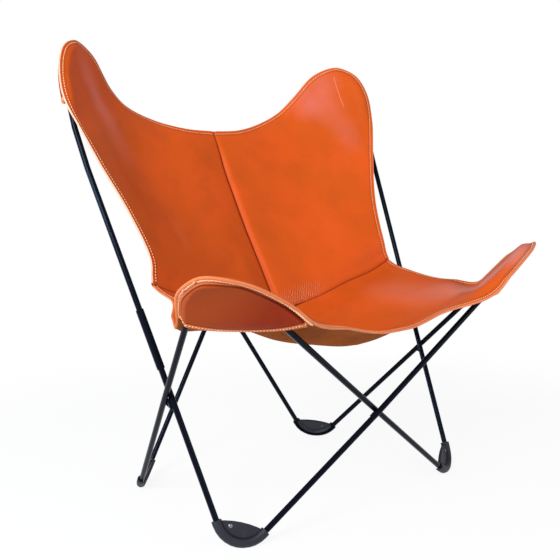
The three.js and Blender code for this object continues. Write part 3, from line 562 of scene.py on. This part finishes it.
class Hoop:
    """A hoop as the leather meets it: the plane that it lies in, and how far along it holds."""

    def __init__(self, corner, leg_a, leg_b, hold_a, hold_b, bow=None):
        self.corner = np.array(corner, float)
        self.towards_a = self.unit(leg_a - self.corner)
        self.towards_b = self.unit(leg_b - self.corner)
        across = self.towards_b - self.towards_a
        face = self.unit(np.cross(across, self.towards_a + self.towards_b))
        self.face = face * np.sign(face[2])
        self.hold_a = hold_a
        self.hold_b = hold_b
        self.bow = bow

    @staticmethod
    def unit(vector):
        return vector / np.linalg.norm(vector)

    def shift(self, points, share):
        """Bows points with the rod, or back where share is -1."""
        if self.bow is None:
            return points.copy()
        inward, forward, start, top = self.bow
        rise = np.maximum(0, points[..., 2] - start) / (top - start)
        pull = share * rise * rise
        moved = points.copy()
        moved[..., 0] -= inward * pull
        moved[..., 1] -= forward * pull
        return moved

    def settle(self, points):
        """Lays points of the sling flat on the hoop, as far as its pocket holds them there."""
        flat = self.shift(points, -1)
        offset = flat - self.corner
        height = offset @ self.face
        offset = offset - height[..., None] * self.face
        cos = self.towards_a @ self.towards_b
        a = offset @ self.towards_a
        b = offset @ self.towards_b
        run_a = np.maximum(0, (a - b * cos) / (1 - cos * cos))
        run_b = np.maximum(0, (b - a * cos) / (1 - cos * cos))
        hug = 1 - soft_step((run_a / self.hold_a + run_b / self.hold_b - 1) / 0.25)
        return self.shift(flat + ((FACE_OFFSET - height) * hug)[..., None] * self.face, 1)


back_hoop = Hoop(
    (0.432, 0.327, 1.054), (0.3363, -0.0307, 0.2566), (0, 0.2765, 0.3691), 0.315, 0.285,
    bow=(0.018, 0.029, 0.655, 0.8717),
)
front_hoop = Hoop(
    (0.435, -0.29, 0.524), (0.3473, -0.0291, 0.2545), (0, -0.2117, 0.2004), 0.19, 0.205
)

MIRROR = np.array((-1, 1, 1))


def column(share):
    return np.asarray(share, float)[..., None]


def back_surface(u, v):
    """A point of the left back panel: u from the centre seam to the side, v from the top down."""
    u, v = np.broadcast_arrays(np.asarray(u, float), np.asarray(v, float))
    uu, vv = column(u), column(v)
    points = (
        top_edge.at(u) * (1 - vv) + seat_seam.at(u) * vv
        + centre_seam.at(v) * (1 - uu) + back_side_edge.at(v) * uu
        - np.array(TOP_CENTRE) * (1 - uu) * (1 - vv) - np.array(BACK_TIP) * uu * (1 - vv)
        - np.array(CROTCH) * (1 - uu) * vv - np.array(ARMPIT) * uu * vv
    )
    return curl(back_hoop.settle(points))


def tree_of(*lines):
    spots = np.vstack([line.reshape(-1, 3) for line in lines])
    tree = KDTree(len(spots))
    for i, spot in enumerate(spots):
        tree.insert(spot, i)
    tree.balance()
    return tree


def nearest(tree, points):
    flat = points.reshape(-1, 3)
    return np.array([tree.find(spot)[2] for spot in flat]).reshape(points.shape[:-1])


def nearest_places(tree, points):
    """How far each point is from the tree, and which of its spots is the nearest."""
    found = [tree.find(spot) for spot in points.reshape(-1, 3)]
    away = np.array([hit[2] for hit in found]).reshape(points.shape[:-1])
    return away, np.array([hit[1] for hit in found]).reshape(points.shape[:-1])


CURL_DEPTH = 0.0095
CURL_WIDTH = 0.018
CURL_ON_TOP = 0.09
curl_run = np.linspace(0, back_side_edge.length, 600)
tip_run = np.linspace(CURL_ON_TOP, 0, 120)
curl_share = np.concatenate((
    soft_step((curl_run + 0.04) / 0.07) * (1 - soft_step((curl_run - 0.14) / 0.08)),
    0.62 * (1 - soft_step(tip_run / CURL_ON_TOP)),
))
curl_tree = tree_of(
    back_side_edge.at(curl_run / back_side_edge.length), top_edge.at(1 - tip_run / top_edge.length)
)


def curl(points):
    """The side edge of a wing goes back round the rod, to where the pocket is sewn to it."""
    away, which = nearest_places(curl_tree, points)
    share = (1 - soft_step(away / CURL_WIDTH)) * curl_share[which]
    return points - CURL_DEPTH * share[..., None] * back_hoop.face


TIP_DROOP_RUN = 0.075
DROOP_DEPTH = 0.0195
DROOP_WIDTH = 0.019
side_spots = seat_side_edge.at(np.linspace(0.7, 1, 200))
side_share = 1 - soft_step(np.linalg.norm(side_spots - np.array(FRONT_TIP), axis=-1) / TIP_DROOP_RUN)
droop_share = np.concatenate((side_share, np.ones(600)))
droop_tree = tree_of(side_spots, hem_edge.at(np.linspace(1, 0, 600)))


def droop(points):
    """The hem of a front corner rolls down over the rod behind it, and the side edge less and less."""
    away, which = nearest_places(droop_tree, points)
    outer = soft_step((points[..., 0] / FRONT_TIP[0] - 0.25) / 0.35)
    by_tip = 1 - soft_step(np.linalg.norm(points - np.array(FRONT_TIP), axis=-1) / 0.07)
    near = 1 - soft_step(away / (DROOP_WIDTH + 0.009 * by_tip))
    reach = (DROOP_DEPTH - 0.0045 * by_tip) * near * outer * droop_share[which] + 0.0018 * by_tip
    return points - reach[..., None] * front_hoop.face


def seat_patch(s, v):
    s, v = np.broadcast_arrays(np.asarray(s, float), np.asarray(v, float))
    u = column((1 + s) / 2)
    vv = column(v)
    side = seat_side_edge.at(v)
    corners = (u + (1 - u) * MIRROR) * ((1 - vv) * np.array(ARMPIT) + vv * np.array(FRONT_TIP))
    return seat_seam.at(s) * (1 - vv) + hem_edge.at(s) * vv + (u + (1 - u) * MIRROR) * side - corners


seat_sag = SEAT_LOWEST - seat_patch(0.0, 0.5)[2]


def seat_surface(s, v):
    """A point of the seat's left half: s from the middle to the side, v from the seam to the hem."""
    s, v = np.broadcast_arrays(np.asarray(s, float), np.asarray(v, float))
    points = seat_patch(s, v)
    points[..., 2] += seat_sag * np.cos(np.pi * s / 2) * np.sin(np.pi * v)
    return droop(front_hoop.settle(points))


# Pieces


def finished(name, mesh_maker, finishes):
    """A piece of the chair from a bmesh, with its finishes, riding on the frame."""
    mesh = bpy.data.meshes.new(name)
    mesh_maker.to_mesh(mesh)
    mesh_maker.free()
    for finish in finishes:
        mesh.materials.append(finish)
    mesh.shade_smooth()
    piece = bpy.data.objects.new(name, mesh)
    bpy.context.scene.collection.objects.link(piece)
    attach(piece, "root")
    return piece


def grid_normals(grid, towards):
    along = np.gradient(grid, axis=0)
    across = np.gradient(grid, axis=1)
    normals = np.cross(along, across)
    size = np.linalg.norm(normals, axis=-1, keepdims=True)
    normals = normals / np.maximum(size, 1e-12)
    return normals * np.sign(np.sum(normals * towards) + 1e-12)


def leather_sheet(
    name, grid, normals, values, cut, finishes, thickness=LEATHER_THICKNESS, profile=None
):
    """A sheet of leather from the grid of points of its middle, thickened and with its edges eased.

    A profile gives the share of the thickness at each point, for an edge that is turned and rounded.
    """
    rows, columns = grid.shape[:2]
    sheet = bmesh.new()
    for key in values:
        sheet.verts.layers.float.new(key)
    sheet.loops.layers.uv.new("cut")
    weights = sheet.verts.layers.deform.verify()
    spots = [sheet.verts.new(spot) for spot in grid.reshape(-1, 3)]
    for key in values:
        layer = sheet.verts.layers.float[key]
        for spot, value in zip(spots, values[key].reshape(-1)):
            spot[layer] = value
    if profile is not None:
        for spot, share in zip(spots, profile.reshape(-1)):
            spot[weights][0] = share
    flat = sheet.loops.layers.uv["cut"]
    cut = cut.reshape(-1, 2)
    turn = np.cross(grid[1:, :-1] - grid[:-1, :-1], grid[:-1, 1:] - grid[:-1, :-1])
    facing = np.sum(turn * normals[:-1, :-1])
    for i in range(rows - 1):
        for j in range(columns - 1):
            ring = [i * columns + j, (i + 1) * columns + j, (i + 1) * columns + j + 1, i * columns + j + 1]
            if facing < 0:
                ring.reverse()
            face = sheet.faces.new([spots[k] for k in ring])
            for loop, k in zip(face.loops, ring):
                loop[flat].uv = cut[k]
    bmesh.ops.remove_doubles(sheet, verts=sheet.verts, dist=1e-5)
    piece = finished(name, sheet, finishes)
    thick = piece.modifiers.new("thickness", "SOLIDIFY")
    thick.thickness = thickness
    thick.offset = 0
    thick.material_offset = 1
    thick.material_offset_rim = 2
    if profile is not None:
        piece.vertex_groups.new(name="profile")
        thick.vertex_group = "profile"
    ease = piece.modifiers.new("eased edges", "BEVEL")
    ease.width = EDGE_EASE
    ease.segments = 2
    ease.limit_method = "ANGLE"
    ease.angle_limit = 1.0
    return piece


def spaced(length, step, near_start=(), near_end=()):
    """Places along a length at about one step, with more of them by an end that has a relief."""
    inner = np.linspace(max(near_start, default=0), length - max(near_end, default=0),
                        int(round(length / step)) + 1)
    places = [*near_start, *inner, *(length - np.array(near_end))]
    return np.unique(np.round(places, 6)) / length


SEAM_STEPS = (0, 0.0008, 0.0018, 0.003, 0.0045, 0.0065, 0.009, 0.012, 0.0155, 0.02, 0.025, 0.031)
RIM_STEPS = (0, 0.0005, 0.0013, 0.0024, 0.0036, 0.005, 0.0066, 0.0086, 0.011)
STEP = 0.0045
GAP_AT_SEAM = 0.0003
ROLL_HEIGHT = 0.0078
LIP = 0.0056


def back_panel(side):
    """One half of the back. The left one has the rolled edge that shows beside the centre seam."""
    u = spaced(top_edge.length, STEP, SEAM_STEPS)
    v = spaced(centre_seam.length, STEP, (), SEAM_STEPS)
    u = GAP_AT_SEAM / top_edge.length + u * (1 - GAP_AT_SEAM / top_edge.length)
    v = v * (1 - GAP_AT_SEAM / centre_seam.length)
    grid = back_surface(u[None, :], v[:, None])
    normals = grid_normals(grid, np.array((0, -1, 0.3)))
    width = np.linalg.norm(np.diff(grid, axis=1), axis=-1).cumsum(axis=1)
    width = np.hstack((np.zeros((len(v), 1)), width))
    height = np.linalg.norm(np.diff(grid[::-1], axis=0), axis=-1).cumsum(axis=0)
    height = np.vstack((np.zeros((1, len(u))), height))[::-1]
    fine = np.linspace(0, 1, 700)
    outline = np.vstack((back_surface(fine, 0.0), back_surface(1.0, fine * v[-1])[1:]))
    rim = nearest(tree_of(outline), grid)
    tuck = -0.0015 * (1 - soft_step(width / 0.006)) - 0.0015 * (1 - soft_step(height / 0.006))
    length = soft_step(v[:, None] / 0.2) * (0.6 + 0.4 * v[:, None])
    if side == "left":
        roll = ROLL_HEIGHT * soft_step(width / 0.01) * (1 - soft_step((width - 0.012) / 0.07)) * length
        low_roll = 0.0016 * soft_step(height / 0.007) * (1 - soft_step((height - 0.008) / 0.016))
    else:
        roll = -0.0026 * np.exp(-((width / 0.024) ** 2)) * length
        puff = np.exp(-(((width - 0.05) / 0.02) ** 2)) * np.exp(-(((height - 0.1) / 0.06) ** 2))
        roll = roll + 0.0022 * puff
        low_roll = 0.0012 * soft_step(height / 0.007) * (1 - soft_step((height - 0.008) / 0.016))
    on_wing = soft_step((grid[..., 2] - 0.76) / 0.05)
    over_rod = 0.0013 * np.exp(-(((rim - 0.023) / 0.008) ** 2)) * on_wing
    grid = grid + (tuck + roll + low_roll + over_rod)[..., None] * normals
    seam = np.minimum(width, height)
    if side == "right":
        grid, normals, outline = grid * MIRROR, normals * MIRROR, outline * MIRROR
    values = {"rim": rim, "seam": seam, "edged": rim * 0}
    cut = np.stack((width, height), -1)
    finishes = [BACK_LEATHER if side == "left" else LEATHER, SUEDE, CUT_EDGE]
    return leather_sheet("back_leather_" + side, grid, normals, values, cut, finishes), outline


def seat_panel():
    """The seat, in one piece, with a lip turned along the hem and round the front corners."""
    s = spaced(seat_seam.length, STEP, (), RIM_STEPS)
    v = spaced(SEAT_DEPTH, STEP, SEAM_STEPS, RIM_STEPS)
    v = GAP_AT_SEAM / SEAT_DEPTH + v * (1 - GAP_AT_SEAM / SEAT_DEPTH)
    half = seat_surface(s[None, :], v[:, None])
    grid = np.hstack(((half * MIRROR)[:, :0:-1], half))
    normals = grid_normals(grid, np.array((0, 0, 1)))
    height = np.linalg.norm(np.diff(grid, axis=0), axis=-1).cumsum(axis=0)
    height = np.vstack((np.zeros((1, grid.shape[1])), height))
    across = np.concatenate((-s[:0:-1], s)) * seat_seam.length
    fine = np.linspace(0, 1, 800)
    outline = np.vstack((seat_surface(1.0, v[0] + fine * (1 - v[0])), seat_surface(fine[::-1], 1.0)[1:]))
    rim = nearest(tree_of(outline), np.abs(grid) * (1, 0, 1) + grid * (0, 1, 0))
    forward = 1 - soft_step((grid[..., 1] + 0.2) / 0.12)
    outer = 0.3 + 0.7 * soft_step((np.abs(grid[..., 0]) - 0.08) / 0.12)
    lip = LEATHER_THICKNESS + (LIP - LEATHER_THICKNESS) * forward * outer
    rounding = np.sqrt(np.clip(1 - (1 - np.clip(rim / (0.5 * lip), 0, 1)) ** 2, 0.02, 1))
    fade = 1 - soft_step((rim - 0.5 * lip) / 0.004)
    thickness = rounding * (LEATHER_THICKNESS + (lip - LEATHER_THICKNESS) * fade)
    tuck = -0.0015 * (1 - soft_step(height / 0.006))
    grid = grid + tuck[..., None] * normals
    cut = np.stack((np.broadcast_to(across, height.shape), height), -1)
    values = {"rim": rim, "seam": height, "edged": forward}
    outline = np.vstack((outline, (outline * MIRROR)[::-1][1:]))
    seat = leather_sheet(
        "seat_leather", grid, normals, values, cut, [SEAT_LEATHER, SUEDE, LIP_EDGE], thickness=LIP,
        profile=thickness / LIP,
    )
    return seat, outline


def inset_edge(hoop, line, from_start, middle, inset, mouth_inset, reach):
    """An edge from its tip on, drawn in by the pocket's insets, on the hoop's flat plane."""
    share = np.linspace(0, 1, 900)
    spots = hoop.shift(line.at(share if from_start else 1 - share), -1)
    run = np.concatenate(([0], np.cumsum(np.linalg.norm(np.diff(spots, axis=0), axis=1))))
    inward = np.cross(hoop.face, np.gradient(spots, axis=0))
    inward = inward / np.linalg.norm(inward, axis=-1, keepdims=True)
    inward = inward * np.sign(np.sum(inward[:300] * (middle - spots[:300])))
    drawn = inset + (mouth_inset - inset) * soft_step((run / reach - 0.5) / 0.5)
    return spots + drawn[:, None] * inward, run


def pocket(name, side, hoop, edges, shape, inset, mouth_inset, depth, bow):
    """A pocket behind one tip of the sling, between runs of two of its edges from the tip on.

    Each edge is given as its line, the run along it, and whether the line starts at the tip. The insets
    draw the pocket in from the edges, at the tip and at the mouth. The depth makes room for the rod.
    """
    rows = np.linspace(0.004, 1, 64)[:, None]
    columns = 0.5 - 0.5 * np.cos(np.pi * np.linspace(0, 1, 84))[None, :]
    runs = [run for _, run, _ in edges]
    far = [
        line.at(run / line.length if starts else 1 - run / line.length) for line, run, starts in edges
    ]
    middle = np.mean([hoop.shift(spot, -1) for spot in far], axis=0)
    ends = []
    for line, run, starts in edges:
        spots, along = inset_edge(hoop, line, starts, middle, inset, mouth_inset, run)
        where = rows * (run + bow * np.mean(runs) * np.sin(np.pi * columns))
        ends.append(np.stack([np.interp(where, along, axis) for axis in spots.T], -1))
    flat = ends[0] * (1 - columns[..., None]) + ends[1] * columns[..., None]
    whole_edges = [line.at(np.linspace(0, 1, 500)) for line, _, _ in edges]
    rim = nearest(tree_of(*whole_edges), hoop.shift(flat, 1))
    gap = SEAM_GAP + (depth - SEAM_GAP) * soft_step((rim - inset - 0.0027) / 0.0085)
    grid = hoop.shift(shape(flat) - gap[..., None] * hoop.face, 1)
    outline = np.vstack((grid[::-1, 0], grid[1:, -1]))
    own_rim = nearest(tree_of(outline), grid)
    pressed = np.clip(1 - np.abs(own_rim - POCKET_CREASE) / 0.0022, 0, 1)
    hem = np.clip(1 - np.linalg.norm(grid - grid[-1:], axis=-1) / 0.0115, 0, 1) ** 0.5
    grid = grid + (0.0009 * pressed - 0.0012 * hem)[..., None] * hoop.face
    mouth = np.linalg.norm(grid - grid[-1:], axis=-1)
    normals = grid_normals(grid, -hoop.face)
    edge = grid[-1]
    if side == "right":
        grid, normals, outline, edge = (part * MIRROR for part in (grid, normals, outline, edge))
    cut = np.stack((own_rim, mouth), -1)
    values = {"rim": own_rim, "seam": mouth * 0 + 0.05, "mouth": mouth, "edged": mouth * 0}
    piece = leather_sheet(
        name + "_" + side, grid, normals, values, cut, [POCKET_LEATHER, SUEDE, POCKET_EDGE],
        thickness=POCKET_THICKNESS,
    )
    return piece, outline, edge


def strip(name, grid, side="left"):
    """A backing strip of thin leather under a seam."""
    normals = grid_normals(grid, np.array((0, -1, 1)))
    grid = grid - SEAM_GAP * normals
    if side == "right":
        grid = grid * MIRROR
        normals = normals * MIRROR
    cut = grid[..., :2]
    values = {"rim": grid[..., 0] * 0 + 0.05, "edged": grid[..., 0] * 0}
    piece = leather_sheet(
        name, grid, -normals, values, cut, [SUEDE, SUEDE, CUT_EDGE], thickness=STRIP_THICKNESS
    )
    piece.modifiers["eased edges"].width = STRIP_EASE
    return piece


SIDES = ("left", "right")
backs, back_outlines = {}, {}
for side in SIDES:
    backs[side], back_outlines[side] = back_panel(side)
seat, seat_outline = seat_panel()


def back_curl(flat):
    return back_hoop.shift(curl(back_hoop.shift(flat, 1)), -1)


back_pockets, front_pockets, pocket_lines = {}, {}, {}
for side in SIDES:
    piece, outline, hem = pocket(
        "back_pocket_leather", side, back_hoop, [(back_side_edge, 0.172, True), (top_edge, 0.126, False)],
        back_curl, 0.006, 0.009, 0.0187, 0.12,
    )
    back_pockets[side], pocket_lines[piece.name] = piece, (piece, outline, hem)
    piece, outline, hem = pocket(
        "front_pocket_leather", side, front_hoop,
        [(seat_side_edge, 0.121, False), (hem_edge, 0.226, False)], droop, 0.005, 0.0036, 0.0178, 0.2,
    )
    front_pockets[side], pocket_lines[piece.name] = piece, (piece, outline, hem)
STRIP_HALF = 0.013
across_strip = np.linspace(-1, 1, 9)
down_seam = np.linspace(0.01, 0.95, 60)
half_grid = back_surface(np.abs(across_strip)[None, :] * STRIP_HALF / top_edge.length, down_seam[:, None])
strip_sign = np.where(across_strip[None, :, None] < 0, MIRROR, 1)
centre_strip = strip("centre_seam_backing", half_grid * strip_sign)
along_seam = np.linspace(0.01, 0.95, 50)[:, None]
upper = back_surface(along_seam, 1 - STRIP_HALF / 0.45 * np.linspace(1, 0.02, 5)[None, :])
lower = seat_surface(along_seam, STRIP_HALF / SEAT_DEPTH * np.linspace(0.02, 1, 5)[None, :])
seat_strips = {side: strip("seat_seam_backing_" + side, np.hstack((upper, lower)), side) for side in SIDES}

# Stitching

THREAD_RADIUS = 0.0009
STITCH_STRETCH = 2.6
STITCH_SINK = 34
STITCH_STEP = 0.0054


def thread_stitch():
    """One stitch of thick thread, along X and sunk at both ends."""
    stitch = bmesh.new()
    bmesh.ops.create_uvsphere(stitch, u_segments=8, v_segments=6, radius=THREAD_RADIUS)
    bmesh.ops.rotate(stitch, cent=(0, 0, 0), matrix=Matrix.Rotation(np.pi / 2, 3, "Y"), verts=stitch.verts)
    for spot in stitch.verts:
        spot.co.x *= STITCH_STRETCH
        spot.co.z -= STITCH_SINK * spot.co.x**2
    mesh = bpy.data.meshes.new("stitch")
    stitch.to_mesh(mesh)
    stitch.free()
    return mesh


STITCH = thread_stitch()


def stitched(name, spots, normals, slant=0.12):
    """A row of stitches on spots that lie one step apart."""
    row = bmesh.new()
    ahead = np.gradient(spots, axis=0)
    for spot, normal, way in zip(spots, normals, ahead):
        up = Vector(normal).normalized()
        along = Vector(way)
        along = (along - up * along.dot(up)).normalized()
        beside = up.cross(along)
        along = (along + beside * slant).normalized()
        turn = Matrix((along, up.cross(along), up)).transposed().to_4x4()
        start = len(row.verts)
        row.from_mesh(STITCH)
        row.verts.ensure_lookup_table()
        bmesh.ops.transform(row, matrix=Matrix.Translation(spot) @ turn, verts=row.verts[start:])
    return finished(name, row, [THREAD])


def surface_tree(piece, offset):
    """The piece's faces, and a reader that gives the place and facing of its skin nearest to a spot."""
    mesh = piece.data
    spots = [v.co for v in mesh.vertices]
    tree = BVHTree.FromPolygons(spots, [tuple(p.vertices) for p in mesh.polygons])

    def read(spot):
        place, normal, _, _ = tree.find_nearest(Vector(spot))
        return place + normal * offset, normal

    return read


def inset_row(piece, line_spots, inset, offset, middle):
    """Spots one stitch apart on the piece's skin, at an inset from the line along its edge."""
    read = surface_tree(piece, offset)
    total = np.concatenate(([0], np.cumsum(np.linalg.norm(np.diff(line_spots, axis=0), axis=1))))
    places = np.arange(0.004, total[-1] - 0.003, STITCH_STEP)
    spots = np.stack([np.interp(places, total, axis) for axis in line_spots.T], -1)
    ahead = np.gradient(spots, axis=0)
    found = []
    for spot, way in zip(spots, ahead):
        _, normal = read(spot)
        inward = Vector(way).cross(normal).normalized()
        if inward.dot(Vector(middle) - Vector(spot)) < 0:
            inward.negate()
        found.append(read(Vector(spot) + inward * inset))
    return np.array([place for place, _ in found]), np.array([normal for _, normal in found])


UNDER_HEM_SPAN = 0.21
POCKET_HEM_STITCH = 0.0056
SKIN = LEATHER_THICKNESS / 2
POCKET_SKIN = POCKET_THICKNESS / 2
BACK_MIDDLE = np.array((0.2, 0.19, 0.66))
SEAT_MIDDLE = np.array((0, -0.12, 0.36))
seams = {}


def stitch_row(name, piece, outline, inset, offset, middle, slant=0.12):
    spots, normals = inset_row(piece, outline, inset, offset, middle)
    seams[name] = stitched(name, spots, normals if offset > 0 else -normals, slant)


for side, sign in (("left", np.ones(3)), ("right", MIRROR)):
    for face, offset in (("front", SKIN), ("reverse", -SKIN)):
        name = "back_stitches_" + face + "_" + side
        stitch_row(name, backs[side], back_outlines[side], SEAM_INSET, offset, BACK_MIDDLE * sign)
stitch_row("seat_stitches_front", seat, seat_outline, SEAM_INSET, SKIN, SEAT_MIDDLE)
hem_between = seat_outline[np.abs(seat_outline[:, 0]) < UNDER_HEM_SPAN]
hem_between = hem_between[hem_between[:, 1] < -0.15]
stitch_row("seat_stitches_reverse", seat, hem_between, SEAM_INSET, -SKIN, SEAT_MIDDLE)
for name, (piece, outline, hem) in pocket_lines.items():
    middle = np.mean(outline, axis=0)
    stitch_row(name + "_stitches", piece, outline, POCKET_STITCH, POCKET_SKIN, middle)
    stitch_row(name + "_hem_stitches", piece, hem, POCKET_HEM_STITCH, POCKET_SKIN, middle, slant=0.9)

# The frame keeps its CAD solids, which get their finish and smooth shading

SHARP_ANGLE = 0.75
WELD_REACH = 0.00001


def smooth_by_angle():
    """A modifier's nodes that shade a solid smooth and keep its sharp edges."""
    tree = bpy.data.node_groups.new("smooth solid", "GeometryNodeTree")
    tree.interface.new_socket("Geometry", in_out="INPUT", socket_type="NodeSocketGeometry")
    tree.interface.new_socket("Geometry", in_out="OUTPUT", socket_type="NodeSocketGeometry")
    entry = tree.nodes.new("NodeGroupInput")
    leave = tree.nodes.new("NodeGroupOutput")
    faces = tree.nodes.new("GeometryNodeSetShadeSmooth")
    edges = tree.nodes.new("GeometryNodeSetShadeSmooth")
    edges.domain = "EDGE"
    angle = tree.nodes.new("GeometryNodeInputMeshEdgeAngle")
    sharp = tree.nodes.new("FunctionNodeCompare")
    sharp.data_type = "FLOAT"
    sharp.operation = "GREATER_THAN"
    sharp.inputs[1].default_value = SHARP_ANGLE
    tree.links.new(angle.outputs["Unsigned Angle"], sharp.inputs[0])
    tree.links.new(entry.outputs[0], faces.inputs["Geometry"])
    tree.links.new(faces.outputs[0], edges.inputs["Geometry"])
    tree.links.new(sharp.outputs[0], edges.inputs["Selection"])
    edges.inputs["Shade Smooth"].default_value = False
    tree.links.new(edges.outputs[0], leave.inputs[0])
    return tree


SMOOTH = smooth_by_angle()
for name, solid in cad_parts.items():
    if "panel" in name or "pocket" in name or "strip" in name:
        continue
    finish = ZINC if "screw" in name else PLASTIC if "glide" in name else ENAMEL
    solid.data.materials.clear()
    solid.data.materials.append(finish)
    joined = solid.modifiers.new("joined", "WELD")
    joined.merge_threshold = WELD_REACH
    shaded = solid.modifiers.new("smooth", "NODES")
    shaded.node_group = SMOOTH

# The CAD solids that the leather sheets stand for are hidden


def pocket_seams(piece):
    return [seams[piece.name + "_stitches"], seams[piece.name + "_hem_stitches"]]


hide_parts("seat_panel")
for side in SIDES:
    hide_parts("back_panel_" + side)
    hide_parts("back_pocket_" + side)
    pocket_seams(back_pockets[side])
    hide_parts("front_pocket_" + side)
    pocket_seams(front_pockets[side])
    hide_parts("seat_seam_strip_" + side)
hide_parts("centre_seam_strip")

# Floor, light and background


def pale_floor():
    floor = bmesh.new()
    bmesh.ops.create_grid(floor, x_segments=1, y_segments=1, size=12)
    mesh = bpy.data.meshes.new("floor")
    floor.to_mesh(mesh)
    floor.free()
    finish = Finish("floor")
    camera, glossy, through = (
        finish.node("ShaderNodeLightPath", {}, {}, kind)
        for kind in ("Is Camera Ray", "Is Glossy Ray", "Is Transmission Ray")
    )
    seen = camera.math("MAXIMUM", glossy).math("MAXIMUM", through)
    across, along, _ = finish.split(finish.place())
    away = (across * across + along * along).math("SQRT")
    paper = finish.node("ShaderNodeBsdfDiffuse", {}, {"Color": (0.9, 0.9, 0.9, 1)})
    glow = finish.node("ShaderNodeEmission", {}, {"Color": (1, 1, 1, 1), "Strength": 1.0})
    share = finish.between(away, 0.7, 1.6, 0.9, 1.0)
    mixed = finish.node("ShaderNodeMixShader", {}, [seen * share, paper, glow])
    finish.node("ShaderNodeOutputMaterial", {}, {"Surface": mixed})
    mesh.materials.append(finish.material)
    piece = bpy.data.objects.new("floor", mesh)
    bpy.context.scene.collection.objects.link(piece)
    piece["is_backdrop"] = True


def white_room(ambient):
    world = bpy.data.worlds.new("room")
    world.use_nodes = True
    tree = world.node_tree
    tree.nodes.clear()
    rays = tree.nodes.new("ShaderNodeLightPath")
    plain = tree.nodes.new("ShaderNodeBackground")
    plain.inputs["Strength"].default_value = ambient
    white = tree.nodes.new("ShaderNodeBackground")
    white.inputs["Strength"].default_value = 1.0
    for background in (plain, white):
        background.inputs["Color"].default_value = (1, 1, 1, 1)
    mixed = tree.nodes.new("ShaderNodeMixShader")
    leave = tree.nodes.new("ShaderNodeOutputWorld")
    tree.links.new(rays.outputs["Is Camera Ray"], mixed.inputs[0])
    tree.links.new(plain.outputs[0], mixed.inputs[1])
    tree.links.new(white.outputs[0], mixed.inputs[2])
    tree.links.new(mixed.outputs[0], leave.inputs[0])
    bpy.context.scene.world = world


def soft_lamp(name, place, size, power, colour=(1, 1, 1), aim=(0, 0, 0.45)):
    lamp = bpy.data.lights.new(name, "AREA")
    lamp.shape = "DISK"
    lamp.size = size
    lamp.energy = power
    lamp.color = colour
    hung = bpy.data.objects.new(name, lamp)
    hung.location = place
    hung.rotation_euler = (Vector(aim) - Vector(place)).to_track_quat("-Z", "Y").to_euler()
    bpy.context.scene.collection.objects.link(hung)


pale_floor()
white_room(0.44)
soft_lamp("key", (-2.6, -1.0, 2.0), 1.3, 88)
soft_lamp("fill", (0.9, -2.5, 1.2), 1.6, 15)
soft_lamp("window", (-2.4, 0.5, 0.9), 0.45, 26, (0.4, 0.68, 1.0))
bpy.context.scene.view_settings.view_transform = "Standard"

boxes = {"cad": cad_box, "visual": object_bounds()}
{key: [list(map(float, corner)) for corner in box] for key, box in boxes.items()}
